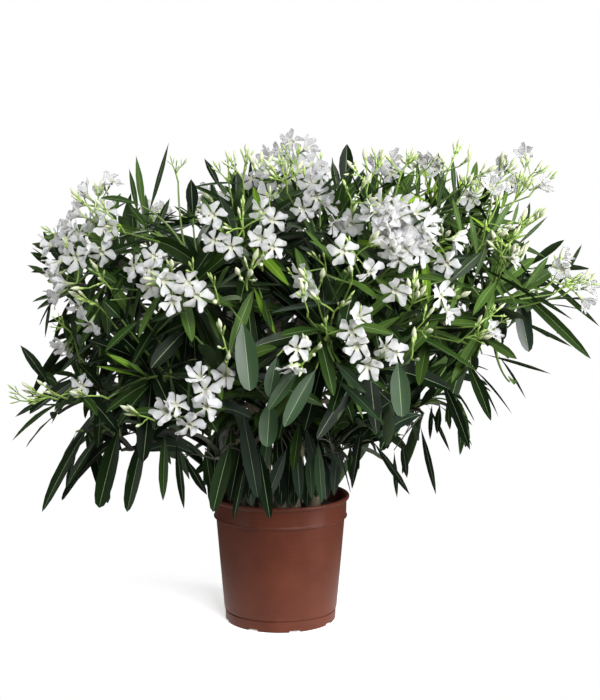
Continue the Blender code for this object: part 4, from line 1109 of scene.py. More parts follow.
class Growth:
    """Everything that grows on the limbs, kept as rows of numbers until it is joined into meshes."""

    def __init__(self, chance):
        self.chance = chance
        self.leaves = {"high": [], "middle": [], "low": []}
        self.woody, self.shoots, self.stalks = [], [], []
        self.flowers, self.buds = [], []
        self.taken = set()
        self.clear_ways = []

    # -- space

    def cells(self, points):
        return {(int(p.x // SPACE_GRAIN), int(p.y // SPACE_GRAIN), int(p.z // SPACE_GRAIN)) for p in points}

    def keep_clear(self, start, end, radius):
        """No leaf enters the way from start to end, so that what stands there shows."""
        self.clear_ways.append((*start, *(end - start), radius))

    def in_clear_way(self, points):
        """Whether any of the points lies in a way that is kept clear."""
        ways = np.array(self.clear_ways)
        offsets = np.array([tuple(point) for point in points])[:, None] - ways[None, :, 0:3]
        runs = ways[:, 3:6]
        shares = np.clip(np.sum(offsets * runs, axis=-1) / np.sum(runs * runs, axis=-1), 0, 1)
        apart = np.sum((offsets - shares[..., None] * runs) ** 2, axis=-1)
        return bool(np.any(apart < ways[:, 6] ** 2))

    def free(self, cells, spine):
        if not self.taken.isdisjoint(cells):
            return False
        for point in spine[SPINE_FROM:]:
            reach = math.hypot(point.x, point.y)
            if point.z < POT_HEIGHT + POT_CLEARANCE and reach < RIM_RADIUS + POT_CLEARANCE:
                return False
        for point in (spine[k] for k in SPINE_CHECKED):
            if math.hypot(point.x, point.y) > ragged_reach(point):
                return False
        return not self.in_clear_way(spine[SPINE_FROM:])

    # -- leaves

    def leaf_cells(self, points, across, width):
        """The cells of a leaf's blade, from points along it."""
        return self.cells([point + across * (side * width) for point in points for side in LEAF_SAMPLES])

    def try_leaf(self, root, way, across, length, width, droop):
        spine = []
        for k in range(SPINE_STEPS + 1):
            share = k / SPINE_STEPS
            spine.append(root + way * (length * share) - UP * (droop * length * share * share))
        cells = self.leaf_cells(spine[SPINE_FROM:], across, width)
        if not self.free(cells, spine):
            return False
        self.taken |= cells
        return True

    def add_leaf(self, level, root, along, length, width, droop, slots):
        """A leaf at root, or the nearest turn of it that is free. Its blade faces up and outwards."""
        chance = self.chance
        for attempt in range(LEAF_TRIES):
            turn = math.radians(chance.uniform(-1, 1) * (6 + 9 * attempt))
            way = Matrix.Rotation(turn, 3, UP) @ along
            way = (way + UP * chance.uniform(-0.12, 0.14) * attempt).normalized()
            light = UP + outward_of(root) * 0.75
            across = way.cross(light)
            if across.length < 0.15:
                across = way.orthogonal()
            roll = math.radians(chance.gauss(0, 20))
            across = Matrix.Rotation(roll, 3, way) @ across.normalized()
            size = length * (1 - 0.04 * attempt)
            if self.try_leaf(root, way, across, size, width, droop):
                shape = (
                    size,
                    width * chance.uniform(0.88, 1.12),
                    droop,
                    chance.uniform(0.10, 0.34),
                    math.radians(chance.gauss(0, 14)),
                    chance.uniform(0.02, 0.09),
                    chance.uniform(0, ANY_TURN),
                    leaf_fullness(width),
                    chance.gauss(0, 0.035),
                )
                self.leaves[level].append(((*root, *way, *across, *shape), slots))
                return True
        return False

    def show_leaf(self, level, root, tip, width, roll, arch, tone):
        """A leaf from root to tip, its blade turned by roll from facing the front."""
        reach = (tip - root).length
        span = tip - root + UP * (arch * reach)
        length = span.length
        way = span.normalized()
        across = way.cross(Vector((0, -1, 0.15)))
        across = Matrix.Rotation(math.radians(roll), 3, way) @ across.normalized()
        points = []
        for k in range(SPINE_FROM, SPINE_STEPS + 1):
            sag = arch * reach * (k / SPINE_STEPS) ** 2
            points.append(root + way * (length * k / SPINE_STEPS) - UP * sag)
        self.taken |= self.leaf_cells(points, across, width)
        for share in (0.35, 0.7):
            place = root.lerp(tip, share)
            self.keep_clear(place, place + IN_FRONT_OF_LEAF, 0.5 * width + 0.010)
        fullness = leaf_fullness(width) + (0.5 if tip.z > root.z + 0.02 else 0)
        turn = math.radians(self.chance.gauss(0, 8))
        droop = arch * reach / length
        shape = (length, width, droop, 0.22, turn, 0.05, self.chance.uniform(0, ANY_TURN), fullness, 0.0)
        self.leaves[level].append(((*root, *way, *across, *shape), leaf_slots(tone)))

    def tone(self, centre, age):
        """The slots of a spray of leaves: blade, rib and under. Age runs from 0 at the tip to 4."""
        chance = self.chance
        height = centre.z
        depth = math.hypot(centre.x, centre.y) / max(0.05, crown_reach(centre))
        # lower sprays are darker: partly the plant's own darker low leaves, partly painted shade for the
        # light that falls off down the crown
        brightness = TONE_START - TONE_BY_AGE * age + TONE_BY_HEIGHT * (height - TONE_HEIGHT)
        # painted shade: the deeper inside the crown, the darker the spray
        brightness -= TONE_SHADE_INSIDE * clamp(0.8 - depth)
        brightness += chance.gauss(0, TONE_SPREAD)
        brightness += TONE_RIGHT * clamp((centre.x - 0.08) / 0.20) * clamp((height - 0.5) / 0.1)
        brightness -= TONE_LEFT * clamp((-0.12 - centre.x) / 0.10)
        brightness -= TONE_LOW_RIGHT * clamp((centre.x - 0.10) / 0.15) * clamp((0.51 - height) / 0.05)
        # the bluish tone of low outer sprays partly paints their sheen
        if height < BLUE_BELOW and depth > BLUE_BEYOND and chance.random() < BLUE_SHARE:
            return leaf_slots("blue")
        brightest = 5 if height > YOUNG_ABOVE else 4 if chance.random() < FRESH_SHARE else 3
        return leaf_slots(BRIGHTNESSES[int(clamp(round(brightness), 0, brightest))])

    def add_whorl(self, level, centre, along, phase, age, lean, length, width, hang):
        across = along.cross(UP)
        across = across.normalized() if across.length > 0.05 else along.orthogonal().normalized()
        slots = self.tone(centre, age)
        grown = False
        for k in range(WHORL_LEAVES):
            turn = phase + 2 * math.pi * k / WHORL_LEAVES
            outward = Matrix.Rotation(turn, 3, along) @ across
            way = (along * math.cos(lean) + outward * math.sin(lean)).normalized()
            size = length * self.chance.uniform(0.86, 1.10)
            droop = hang * self.chance.uniform(0.6, 1.4)
            placed = self.add_leaf(level, centre + outward * 0.0012, way, size, width, droop, slots)
            grown = grown or placed
        return grown

    def dress(self, limb, level, topped, whorls=len(WHORLS)):
        """Whorls from the tip inwards, the youngest left off below a truss. Gives the outermost's place."""
        length = limb.length()
        phase = self.chance.uniform(0, 2 * math.pi)
        tip, _ = limb.end()
        low = clamp((0.56 - tip.z) / 0.22)
        hang = 0.10 + 0.34 * low
        top = clamp((tip.z - 0.58) / 0.12)
        right = top * clamp((tip.x - 0.08) / 0.15)
        breadth = between(1.0, LOW_LEAF_BREADTH, low) * between(1.0, TOP_LEAF_BREADTH, top)
        breadth *= between(1.0, RIGHT_LEAF_BREADTH, right)
        outermost = None
        for age, (back, size, width, lean) in enumerate(WHORLS[:whorls]):
            if (topped and age == 0) or back > 0.94 * length:
                continue
            centre, along = limb.at(1 - back / length)
            lean_now = math.radians(lean + self.chance.uniform(-6, 6) - TOP_LIFT * top - RIGHT_LIFT * right)
            turn = phase + age * math.pi / 3
            grown = self.add_whorl(level, centre, along, turn, age, lean_now, size, width * breadth, hang)
            if grown and outermost is None:
                outermost = 1 - back / length
        return outermost

    # -- trusses

    def add_stalk(self, start, end, rise, radius):
        knee = start.lerp(end, 0.5) + rise
        self.stalks.append((bend(start, knee, end, 3), radius, radius * 0.85, 0))

    def add_peduncle(self, tip, hub, along):
        """The thicker stalk from a shoot's tip to the fork of its head."""
        self.add_stalk(tip - along * 0.003, hub, along * 0.002, PEDUNCLE_RADIUS * 1.25)

    def add_flower(self, mouth, facing, half_open=False):
        """A flower with its mouth there. Gives the foot of its tube."""
        chance = self.chance
        side = beside(facing, chance.uniform(0, 2 * math.pi))
        size = FLOWER_RADIUS * chance.uniform(0.88, 1.08)
        kind = chance.choices(range(len(FLOWER_KINDS)), FLOWER_WEIGHTS)[0]
        kind = (HALF_OPEN if half_open else kind) + chance.choice((0, len(FLOWER_KINDS)))
        # painted shade: flowers high up and on the right take the greyer copy of the petal material
        shaded = mouth.z > SHADED_ABOVE and mouth.x > SHADED_FROM or mouth.x > SHADED_BEYOND
        slots = (4 if shaded else 0, 1, 2, 3)
        self.flowers.append((mouth, (side, facing.cross(side), facing), size, kind, slots))
        self.taken |= self.cells([mouth, mouth + side * 0.012, mouth - side * 0.012])
        return mouth - facing * (TUBE_LENGTH * size / FLOWER_RADIUS)

    def add_bud(self, root, along, length):
        chance = self.chance
        side = beside(along, chance.uniform(0, ANY_TURN))
        ripe = length > RIPE_LENGTH
        slots = (0, 1, 3) if ripe else (1, 2, 3)
        plump = 1 if length > PLUMP_LENGTH or (ripe and chance.random() < 0.4) else 0
        self.buds.append((root, (side, along.cross(side), along), length, plump, slots))

    def add_truss(self, tip, along, outward, flowers, buds):
        """A head of the seeded rule: open flowers over a dome, and buds between them."""
        chance = self.chance
        hub = tip + along * HUB_STALK
        self.add_peduncle(tip, hub, along)
        spread = math.radians(64 if flowers > 2 else 42)
        dome = math.sqrt(max(flowers, 3) * FLOWER_ROOM / (2 * math.pi * (1 - math.cos(spread))))
        dome = max(dome, 0.034)
        phase = chance.uniform(0, 2 * math.pi)
        for k in range(flowers):
            lean = spread * math.sqrt((k + 0.5) / flowers)
            way = fan_out(along, lean, phase + GOLDEN_TURN * k)
            mouth = hub + way * dome * chance.uniform(0.82, 1.14)
            facing = (way * 0.8 + outward * 0.4 + self.jitter(0.22)).normalized()
            root = self.add_flower(mouth, facing)
            self.add_stalk(hub, root, along * 0.004, PEDICEL_RADIUS * 1.2)
        self.add_buds(hub, along, buds, chance.uniform(0.2, 0.9))
        return hub, dome

    def add_buds(self, hub, along, buds, age):
        """Arms that rise from the fork, each with up to three buds."""
        chance = self.chance
        phase = chance.uniform(0, 2 * math.pi)
        arms = math.ceil(buds / 3)
        for arm in range(arms):
            lean = math.radians(chance.uniform(8, 56) if arms > 1 else 14)
            way = fan_out(along, lean, phase + GOLDEN_TURN * arm).normalized()
            end = hub + way * (chance.uniform(0.013, 0.028) * between(0.55, 1.0, clamp(age / 0.4)))
            self.add_stalk(hub, end, along * 0.004, PEDUNCLE_RADIUS)
            self.add_three_buds(end, (way + UP * 0.2).normalized(), min(3, buds - 3 * arm), age)

    def add_three_buds(self, end, along, count, age):
        """The middle bud is the oldest, and stands between two younger ones."""
        chance = self.chance
        turn = chance.uniform(0, ANY_TURN)
        grown = between(0.42, 1.05, clamp(age + chance.gauss(0, 0.18)))
        for k in range(count):
            lean = (0.06, 0.62, -0.62)[k] * chance.uniform(0.7, 1.2)
            way = (fan_out(along, lean, turn) + self.jitter(0.06)).normalized()
            length = BUD_LENGTH * grown * (1.0 if k == 0 else chance.uniform(0.60, 0.88))
            root = end + way * chance.uniform(0.003, 0.007)
            self.add_stalk(end, root, along * 0.001, PEDICEL_RADIUS)
            self.add_bud(root, (way + along * 0.35).normalized(), length)

    def jitter(self, size):
        return Vector([self.chance.gauss(0, size) for _ in range(3)])


def aim_of(point):
    """The way a truss or a young shoot at the point grows: up in the crown's top, out at its sides."""
    from_middle = Vector((point.x, point.y, 1.15 * (point.z - 0.42)))
    return (from_middle.normalized() + UP * 0.45).normalized()


def nearest_mass(masses, point):
    return min(range(len(masses)), key=lambda k: (masses[k].site - point).length_squared)


def throw_tips(growth, kept):
    """Tips of shoots spread evenly under the crown's outline, none near another or a truss."""
    chance = growth.chance
    tips = []
    for _ in range(DARTS):
        height = between(*SHOOT_LEVELS, chance.random())
        spot = polar(chance.uniform(-180, 180), 1.0, height)
        reach = crown_reach(spot) - chance.uniform(*SHOOT_INSET)
        depth = chance.choice(SHOOT_DEPTHS)
        spot = Vector((spot.x * reach * depth, spot.y * reach * depth, height))
        if (height > TOP_TIPS and depth < 0.9) or height > skyline(spot.x) or growth.in_clear_way([spot]):
            continue
        spacing = SHOOT_SPACING + LOW_SPACING * clamp((0.44 - height) / 0.12)
        if all((spot - other).length > spacing for other in (*kept, *tips)):
            tips.append(spot)
    return tips


def grow_twigs(mass, chance):
    """The mass's own twigs, whose ends stand round its tips."""
    line = mass.stem()
    fork = line[-1]
    aim = (mass.tips - line[0]).normalized()
    across = aim.cross(UP).normalized()
    phase = math.radians(chance.uniform(70, 110))
    rise = 0.02 if mass.tips.z > LOW_TIPS else 0.035
    twigs = []
    for number in range(TWIGS_IN_MASS):
        turn = phase + 2 * math.pi * number / TWIGS_IN_MASS
        spread = TWIG_SPREAD * chance.uniform(0.80, 1.0)
        end = mass.tips + Matrix.Rotation(turn, 3, aim) @ across * spread
        end = end - (end - fork) * 0.22
        twig = bend(fork, fork + (end - fork) * 0.45 + UP * rise, end, SHOOT_STEPS)
        twigs.append(Limb(twig, TWIG_ROOT_RADIUS, TWIG_TIP_RADIUS))
    return line, twigs


def grow_shoot(twigs, tip, aim):
    """A shoot from the twig and fork that let it run on to its tip with the least turn."""
    best = None
    for twig in twigs:
        for share in FORK_SHARES:
            start, along = twig.at(share)
            reach = tip - start
            turn = reach.normalized().dot(along)
            cost = reach.length + 0.12 * (1 - turn) + (0.25 if turn < 0.2 else 0)
            if best is None or cost < best[0]:
                best = (cost, start, along, twig, share)
    _, start, along, twig, share = best
    twig.furthest_fork = max(twig.furthest_fork, share)
    reach = (tip - start).length
    knee = start.lerp(tip, 0.5) + along * (0.16 * reach) - aim * (0.20 * reach) + UP * (0.05 * reach)
    return Limb(bend(start, knee, tip, SHOOT_STEPS), SHOOT_ROOT_RADIUS, SHOOT_TIP_RADIUS)


def grow_crown(masses, limbs):
    """Twigs, shoots, leaves and trusses for every mass."""
    growth = Growth(random.Random(SEED))
    families = []
    for mass in masses:
        line, twigs = grow_twigs(mass, growth.chance)
        growth.woody.append((line, mass.limb.tip_radius, TWIG_ROOT_RADIUS, 0))
        families.append(twigs)

    shoots = []  # (shoot, mass, whether its tip is taken already, whorls)

    def grow_to(tip, aim, topped, whorls=len(WHORLS)):
        number = nearest_mass(masses, tip)
        shoot = grow_shoot(families[number], tip, aim)
        shoots.append((shoot, masses[number], topped, whorls))
        return shoot

    show_flowers(growth, show_heads(growth, grow_to))
    show_leaves(growth, grow_to)
    keep_sky(growth)
    for tip in throw_tips(growth, [shoot.line[-1] for shoot, _, _, _ in shoots]):
        grow_by_rule(growth, grow_to, tip)
    hang_curtain(growth, limbs)
    for shoot, mass, topped, whorls in shoots:
        dress_shoot(growth, shoot, mass, topped, whorls)
    for mass, twigs in zip(masses, families):
        for twig in twigs:
            outermost = growth.dress(twig, level_of(mass), False) or 0
            line = twig.part(max(outermost, twig.furthest_fork, 0.05))
            growth.woody.append((line, twig.root_radius, twig.tip_radius, 0))
    return growth


def keep_sky(growth):
    """Keeps the rule's leaves out of the places where the photo shows sky."""
    for x, y, radius in SKY:
        start, end = seen_at(x, y, -0.6), seen_at(x, y, 0.6)
        growth.keep_clear(start, end, radius * SKY_SHARE * -CAMERA_PLACE[1] / PHOTO_FOCUS)


def grow_by_rule(growth, grow_to, tip):
    """A shoot to the tip. Behind the front it may end in a truss, since the photo shows the front alone."""
    chance = growth.chance
    aim = aim_of(tip)
    at_right = tip.x > RULE_RIGHT[0] and tip.y < RULE_RIGHT[1]
    share = RULE_SHARE if tip.z > RULE_HIGH else RULE_SHARE_LOW
    blooms = tip.y > RULE_FROM and tip.z > RULE_LOWEST and not at_right and chance.random() < share
    if not blooms or growth.in_clear_way([tip, tip + aim * 0.03, tip + aim * 0.06]):
        grow_to(tip, aim, False)
        return
    foot = tip - outward_of(tip) * 0.03
    _, along = grow_to(foot, aim, True).end()
    along = along.lerp(aim, 0.5).normalized()
    flowers, buds = chance.choice((0, 2, 3, 4, 5, 6)), chance.randint(4, 10)
    hub, dome = growth.add_truss(foot, along, outward_of(foot), flowers, buds)
    middle = hub + along * dome * 0.8
    way = (along + outward_of(foot)).normalized()
    growth.keep_clear(middle, middle + way * 0.12, 0.5 * dome + 0.012)


def dress_shoot(growth, shoot, mass, topped, whorls):
    """The shoot's leaves, and the shoot itself as far as it carries something."""
    outermost = growth.dress(shoot, level_of(mass), topped, whorls)
    if topped or outermost:
        line = shoot.part(1.0 if topped else outermost)
        slot = wood_slot(line)
        thin = BROWN_THINNER if slot else 1.0
        growth.shoots.append((line, shoot.root_radius * thin, shoot.tip_radius * thin, slot))


def wood_slot(line):
    """Shoots low in the middle of the crown are brown."""
    return int(line[-1].z < BROWN_BELOW and abs(line[-1].x) < BROWN_WITHIN)


def show_heads(growth, grow_to):
    """The forked heads seen from the front, each on a shoot of its own. Gives the forks."""
    hubs = []
    for x, y, behind, buds, age in HEADS:
        hub = on_crown(x, y, HUB_DEPTH + behind)
        aim = aim_of(hub)
        tip = hub - aim * HUB_STALK
        _, along = grow_to(tip, aim, True).end()
        along = along.lerp(aim, 0.6).normalized()
        growth.add_peduncle(tip, hub, along)
        growth.add_buds(hub, along, buds, age)
        middle = hub + along * 0.025
        growth.keep_clear(middle, middle + TOWARDS_CAMERA, HEAD_ROOM)
        hubs.append(hub)
    return hubs


def show_flowers(growth, hubs):
    """The open flowers seen from the front, each on a stalk from the nearest fork."""
    for x, y, behind, azimuth, rise in FLOWERS:
        mouth = on_crown(x, y, behind)
        nearest = min(range(len(HEADS)), key=lambda k: math.dist((x, y), HEADS[k][:2]))
        depth = clamp(mouth.y, hubs[nearest].y - STALK_REACH, hubs[nearest].y + STALK_REACH)
        mouth = seen_at(x, y, depth)
        rise = math.radians(rise)
        facing = (polar(azimuth, math.cos(rise), math.sin(rise)) + growth.jitter(0.08)).normalized()
        root = growth.add_flower(mouth, facing, abs(azimuth) > HALF_OPEN_BEYOND)
        hub = min(hubs, key=lambda place: (place - root).length)
        growth.add_stalk(hub, root, (root - hub) * 0.1 - facing * 0.004, PEDICEL_RADIUS * 1.2)
        growth.keep_clear(mouth, mouth + TOWARDS_CAMERA, FLOWER_RADIUS * 0.85)


def show_leaves(growth, grow_to):
    """The leaves that stand out in the photo, each on a shoot of its own."""
    for x, y, tip_x, tip_y, depth, tip_depth, width, roll, arch, tone in SHOWN_LEAVES:
        root, tip = seen_at(x, y, depth / 100), seen_at(tip_x, tip_y, tip_depth / 100)
        low = root.z < SHOWN_LOW
        grow_to(root, (tip - root).normalized(), True, 2 if low else 3)
        level = "low" if low else "high" if root.z > SHOWN_HIGH else "middle"
        growth.show_leaf(level, root, tip, width / 1000, roll, arch / 100, tone)


def hang_curtain(growth, limbs):
    """Dark leaves that hang round the stems, over the pot's mouth, on short twigs of the nearest limb. Their
    dark tones are partly painted shade.
    """
    chance = growth.chance
    places = [place for limb in limbs for place in limb.line]
    for k in range(CURTAIN_ROOTS):
        reach = between(*CURTAIN_REACH, chance.random())
        height = between(*CURTAIN_HEIGHTS, chance.random())
        root = polar(CURTAIN_STEP * k, reach, height)
        start = min(places, key=lambda place: (place - root).length)
        twig = bend(start, start.lerp(root, 0.6) + UP * 0.012, root, SHOOT_STEPS)
        outward = outward_of(root)
        grown = False
        for turn in CURTAIN_TURNS:
            away = Matrix.Rotation(turn + chance.uniform(-0.2, 0.2), 3, UP) @ outward
            way = (away * 0.30 - UP).normalized()
            slots = leaf_slots(chance.choice(("shade", "deep", "blue", "blue")))
            length = between(*CURTAIN_LENGTHS, chance.random())
            width = between(*CURTAIN_WIDTHS, chance.random())
            placed = growth.add_leaf("low", root, way, length, width, 0.05, slots)
            grown = grown or placed
        if grown:
            growth.shoots.append((twig, 0.6 * SHOOT_ROOT_RADIUS, 0.6 * SHOOT_TIP_RADIUS, 1))


def level_of(mass):
    """The centre's masses are kept with the high ones, and the inner ones with the low ones."""
    return {"inner": "low", "middle": "middle", "low": "low"}.get(mass.level, "high")


# ---------------------------------------------------------------- the limbs' bark


def bark_radius(height, angle, radius, limb_seed):
    """A limb's radius with its relief: fine upright ridges, rings of old leaf scars and small warts."""
    around = Vector((math.cos(angle), math.sin(angle), 0)) * 2.2
    ridges = noise.noise(around * 1.6 + Vector((limb_seed, 0, height * 22)))
    warts = noise.noise(around * 3.5 + Vector((0, limb_seed, height * 160)))
    scar = math.exp(-(((height / 0.034) % 1.0 - 0.5) / 0.10) ** 2)
    return radius * (1 + 0.075 * ridges + 0.055 * max(0.0, warts) + 0.05 * scar)


def make_bark(name, limbs, sides, steps, flared, material):
    """All the stems or boughs as one mesh with the bark's relief."""
    points, quads, triangles = [], [], []
    for number, limb in enumerate(limbs):
        first = len(points)
        before, along = limb.at(0)
        across = along.orthogonal().normalized()
        run = 0.0
        for k in range(steps + 1):
            centre, along = limb.at(k / steps)
            run += (centre - before).length
            before = centre
            across = (across - along * across.dot(along)).normalized()
            other = along.cross(across)
            radius = between(limb.root_radius, limb.tip_radius, k / steps)
            if flared:
                radius *= 1 + (STEM_FLARE - 1) * clamp(1 - run / STEM_FLARE_HEIGHT) ** 1.5
            for side in range(sides):
                angle = 2 * math.pi * side / sides
                rough = bark_radius(run, angle, radius, 7.3 * number)
                edge = centre + (across * math.cos(angle) + other * math.sin(angle)) * rough
                if flared and k == 0:
                    edge.z = centre.z
                points.append(edge)
        foot = len(points)
        points += [limb.line[0], limb.line[-1]]
        quads += ring_faces(first, steps + 1, sides)
        triangles += end_faces(first, foot - sides, sides, foot, foot + 1)
    array = np.array([tuple(point) for point in points])
    slots = np.zeros(len(quads)), np.zeros(len(triangles))
    return mesh_from_arrays(name, array, np.array(quads), np.array(triangles), *slots, [material])


# ---------------------------------------------------------------- the pot and its compost


def turned_object(name, profile, sides, material):
    """A closed body turned from a profile of (radius, height) that starts and ends on the axis."""
    shape = bmesh.new()
    rings = []
    for radius, height in profile:
        if radius == 0:
            rings.append([shape.verts.new((0, 0, height))])
        else:
            rings.append([shape.verts.new(polar(360 * k / sides, radius, height)) for k in range(sides)])
    for low, high in zip(rings, rings[1:]):
        for k in range(sides):
            after = (k + 1) % sides
            if len(low) == 1:
                shape.faces.new((low[0], high[k], high[after]))
            elif len(high) == 1:
                shape.faces.new((low[k], high[0], low[after]))
            else:
                shape.faces.new((low[k], high[k], high[after], low[after]))
    bmesh.ops.recalc_face_normals(shape, faces=shape.faces)
    made = object_of(name, shape, [material])
    made.data.shade_smooth()
    return made


def rounded(points, radius, steps=4):
    """The profile with each inner corner rounded by an arc-like curve of about that radius."""
    made = [points[0]]
    for before, corner, after in zip(points, points[1:], points[2:]):
        here = Vector(corner)
        to_before, to_after = Vector(before) - here, Vector(after) - here
        cut = min(radius, 0.45 * to_before.length, 0.45 * to_after.length)
        start = here + to_before.normalized() * cut
        end = here + to_after.normalized() * cut
        made += [(place.x, place.y) for place in bend(start, here, end, steps)]
    made.append(points[-1])
    return made


def make_pot(material):
    """The tub: foot band with a groove over it, tapering wall, band with a bead below, and a rolled rim."""
    band_foot = POT_HEIGHT - BAND_HEIGHT
    inside = WALL + 0.0004
    slope = (BODY_TOP_RADIUS - BODY_FOOT_RADIUS) / (band_foot - FOOT_HEIGHT)
    profile = [
        (0, 0.0012),
        (FOOT_RADIUS - 0.012, 0.0012),
        (FOOT_RADIUS - 0.010, 0),
        (FOOT_RADIUS - 0.0012, 0),
        (FOOT_RADIUS, 0.0014),
        (FOOT_RADIUS + 0.0006, FOOT_HEIGHT - 0.0022),
        (FOOT_RADIUS - 0.0010, FOOT_HEIGHT - 0.0014),
        (FOOT_RADIUS - 0.0008, FOOT_HEIGHT - 0.0002),
        (BODY_FOOT_RADIUS, FOOT_HEIGHT + 0.0010),
        (BODY_FOOT_RADIUS + slope * 0.08, FOOT_HEIGHT + 0.08),
        (BODY_TOP_RADIUS - 0.0004, band_foot - 0.0012),
        (BAND_RADIUS - 0.0004, band_foot - 0.0004),
        (BAND_RADIUS + 0.0010, band_foot + 0.0004),
        (BAND_RADIUS + 0.0010, band_foot + 0.0014),
        (BAND_RADIUS - 0.0006, band_foot + 0.0038),
        (BAND_RADIUS, POT_HEIGHT - RIM_DROP - 0.0016),
        (RIM_RADIUS - 0.0016, POT_HEIGHT - RIM_DROP),
        (RIM_RADIUS, POT_HEIGHT - 0.62 * RIM_DROP),
        (RIM_RADIUS - 0.0002, POT_HEIGHT - 0.0016),
        (RIM_RADIUS - 0.0020, POT_HEIGHT),
        (BAND_RADIUS - WALL + 0.0008, POT_HEIGHT - 0.0008),
        (BAND_RADIUS - WALL, POT_HEIGHT - 0.0040),
        (BODY_TOP_RADIUS - inside, band_foot + 0.001),
        (FOOT_RADIUS - WALL - 0.002, FLOOR),
        (0, FLOOR),
    ]
    pot = turned_object("pot_moulded", rounded(profile, POT_ROUNDING), POT_SIDES, material)
    slots = drain_cutters()
    cutting = pot.modifiers.new("drain slots", "BOOLEAN")
    cutting.operation = "DIFFERENCE"
    cutting.object = slots
    apply_modifiers(pot)
    bpy.data.objects.remove(slots)
    pot.data.shade_smooth()
    pot.data.set_sharp_from_angle(angle=math.radians(40))
    return pot


def apply_modifiers(piece):
    graph = bpy.context.evaluated_depsgraph_get()
    mesh = bpy.data.meshes.new_from_object(piece.evaluated_get(graph))
    piece.modifiers.clear()
    piece.data = mesh


def drain_cutters():
    """The blocks that cut the slots in the foot's edge, as one object."""
    across, deep, high = DRAIN_SLOT_SIZE
    blocks = bmesh.new()
    middle = FOOT_RADIUS + 0.006 - deep / 2
    for slot in range(DRAIN_SLOTS):
        azimuth = 360 * (slot + 0.35) / DRAIN_SLOTS
        block = bmesh.ops.create_cube(blocks, size=1)["verts"]
        place = (
            Matrix.Rotation(math.radians(azimuth), 4, "Z")
            @ Matrix.Translation((0, -middle, 0))
            @ Matrix.Diagonal((across, deep, 2 * high, 1))
        )
        bmesh.ops.transform(blocks, matrix=place, verts=block)
    return object_of("drain_blocks", blocks)


def make_compost(material):
    """Fills the pot to just under its top, with a crumbly surface that rises a little round the stems."""
    off_wall = WALL + 0.0004 + GAP
    band_foot = POT_HEIGHT - BAND_HEIGHT
    top_radius = BODY_TOP_RADIUS - off_wall + 0.0006
    profile = [(0, FLOOR + GAP), (FOOT_RADIUS - WALL - 0.002 - GAP, FLOOR + GAP)]
    profile += [(BODY_TOP_RADIUS - off_wall, band_foot), (top_radius, COMPOST_TOP - 0.002)]
    for k in range(COMPOST_RINGS + 1):
        profile.append((top_radius * (1 - k / COMPOST_RINGS), COMPOST_TOP - 0.001))
    compost = turned_object("compost_crumbs", profile, COMPOST_SIDES, material)
    for point in compost.data.vertices:
        reach = math.hypot(point.co.x, point.co.y)
        if point.co.z > COMPOST_TOP - 0.0015 and reach < 0.97 * top_radius:
            lump = noise.fractal(point.co * 95, 0.9, 2.1, 4)
            heap = 0.0035 * math.exp(-(((reach - STEM_FOOT_CIRCLE) / 0.018) ** 2))
            point.co.z += heap + 0.0032 * lump
    return compost


# ---------------------------------------------------------------- studio


def make_camera():
    camera = bpy.data.cameras.new("camera")
    camera.lens = CAMERA_LENS
    camera.sensor_width = CAMERA_SENSOR
    made = link_object("camera", camera)
    made.location = CAMERA_PLACE
    made.rotation_euler = (math.radians(CAMERA_PITCH), 0, 0)
    bpy.context.scene.camera = made


def add_light(name, place, aim, size, power):
    light = bpy.data.lights.new(name, "AREA")
    light.shape = "RECTANGLE"
    light.size, light.size_y = size
    light.energy = power
    made = link_object(name, light)
    made.location = place
    way = Vector(aim) - Vector(place)
    made.rotation_euler = way.to_track_quat("-Z", "Y").to_euler()


def make_world():
    """A room that looks white, and gives less light than its look, so the crown keeps its depth."""
    world = bpy.data.worlds.new("studio")
    world.use_nodes = True
    tree = world.node_tree
    background = tree.nodes["Background"]
    background.inputs["Color"].default_value = (1, 1, 1, 1)
    path = tree.nodes.new("ShaderNodeLightPath")
    strength = tree.nodes.new("ShaderNodeMapRange")
    strength.inputs["To Min"].default_value = ROOM_LIGHT
    strength.inputs["To Max"].default_value = ROOM_LOOK
    tree.links.new(path.outputs["Is Camera Ray"], strength.inputs["Value"])
    tree.links.new(strength.outputs["Result"], background.inputs["Strength"])
    bpy.context.scene.world = world
    bpy.context.scene.view_settings.view_transform = "Standard"


def floor_material():
    """Pale and matt, fading into the white of the room far from the pot."""
    nodes = Nodes("pale floor")
    nodes.shader.inputs["Base Color"].default_value = (0.90, 0.90, 0.90, 1)
    nodes.shader.inputs["Roughness"].default_value = 0.9
    nodes.shader.inputs["Specular IOR Level"].default_value = 0.1
    nodes.shader.inputs["Emission Color"].default_value = (1, 1, 1, 1)
    nodes.shader.inputs["Emission Strength"].default_value = FLOOR_GLOW
    distance = nodes.add("ShaderNodeVectorMath", operation="LENGTH")
    nodes.link(nodes.place(), distance.inputs[0])
    fade = nodes.add("ShaderNodeMapRange", interpolation_type="SMOOTHSTEP")
    fade.inputs["From Min"].default_value = FLOOR_FADE[0]
    fade.inputs["From Max"].default_value = FLOOR_FADE[1]
    fade.inputs["To Min"].default_value = 1.0
    fade.inputs["To Max"].default_value = 0.0
    nodes.link(distance.outputs["Value"], fade.inputs["Value"])
    nodes.link(fade.outputs["Result"], nodes.shader.inputs["Alpha"])
    return nodes.material


def make_floor():
    disc = bmesh.new()
    bmesh.ops.create_circle(disc, cap_ends=True, segments=96, radius=FLOOR_FADE[1])
    floor = object_of("floor", disc, [floor_material()])


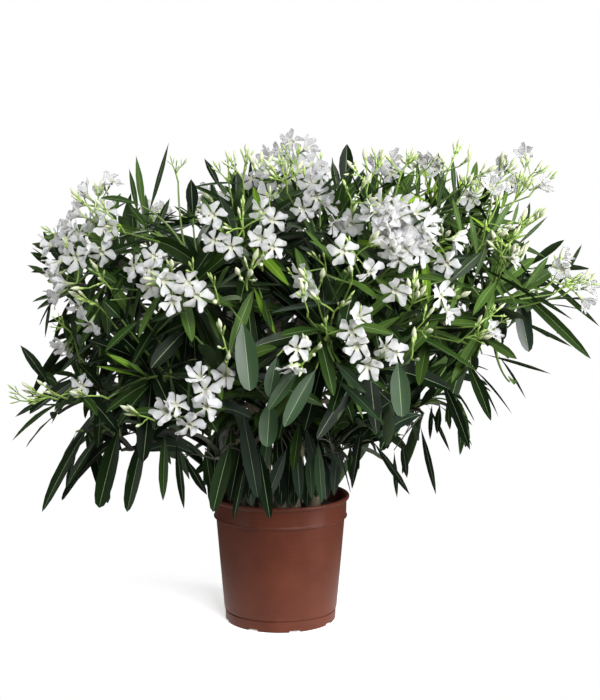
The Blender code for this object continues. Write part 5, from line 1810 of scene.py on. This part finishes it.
def make_studio():
    make_world()
    make_floor()
    for light in LIGHTS:
        add_light(*light)


# ---------------------------------------------------------------- the whole plant


def finish_piece(piece, replaced=()):
    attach(piece, "root")
    if replaced:
        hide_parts(*replaced)


def leaf_materials():
    made = []
    for name, colour in BLADES.items():
        made.append(plain(f"leaf_{name}", colour, LEAF_ROUGHNESS, shine=SHEEN.get(name, LEAF_SHINE)))
    return made + [plain(*look) for look in RIB_LOOKS]


def flower_shapes():
    """Each kind of flower, made twice."""
    chance = random.Random(SEED)
    return [flower_template(*kind, chance) for kind in FLOWER_KINDS * 2]


def build():
    stems, boughs, masses = grow_limbs()
    growth = grow_crown(masses, [*stems.values(), *boughs.values()])
    bark_skin = bark()
    finish_piece(make_bark("bark_stems", list(stems.values()), 18, 90, True, bark_skin), stems)
    finish_piece(make_bark("bark_boughs", list(boughs.values()), 14, 60, False, bark_skin), boughs)
    leaf_skins = leaf_materials()
    for level, leaves in growth.leaves.items():
        piece = make_leaves(f"leaves_{level}", leaves, leaf_skins)
        names = [mass.name for mass in masses if level_of(mass) == level]
        finish_piece(piece, names)
        print(piece.name, len(leaves), "leaves")
    wood = plain("twig_brown", (0.026, 0.026, 0.013), 0.65)
    green = plain("shoot_green", (0.095, 0.160, 0.028), 0.50)
    stalk = plain("stalk_green", (0.230, 0.350, 0.070), 0.50)
    finish_piece(make_tubes("woody_twigs", growth.woody, 8, [wood]))
    finish_piece(make_tubes("green_shoots", growth.shoots, 6, [green, wood]))
    finish_piece(make_tubes("flower_stalks", growth.stalks, 4, [stalk]))
    petal_skins = [plain(*look) for look in FLOWER_LOOKS]
    finish_piece(make_copies("flowers", flower_shapes(), growth.flowers, petal_skins))
    bud_skins = [plain(*look) for look in BUD_LOOKS]
    finish_piece(make_copies("buds", bud_shapes(), growth.buds, bud_skins))
    finish_piece(make_pot(pot_plastic()), ["pot"])
    finish_piece(make_compost(peat()), ["compost"])
    print(len(growth.shoots), "shoots", len(growth.flowers), "flowers", len(growth.buds), "buds")


make_camera()
make_studio()
build()
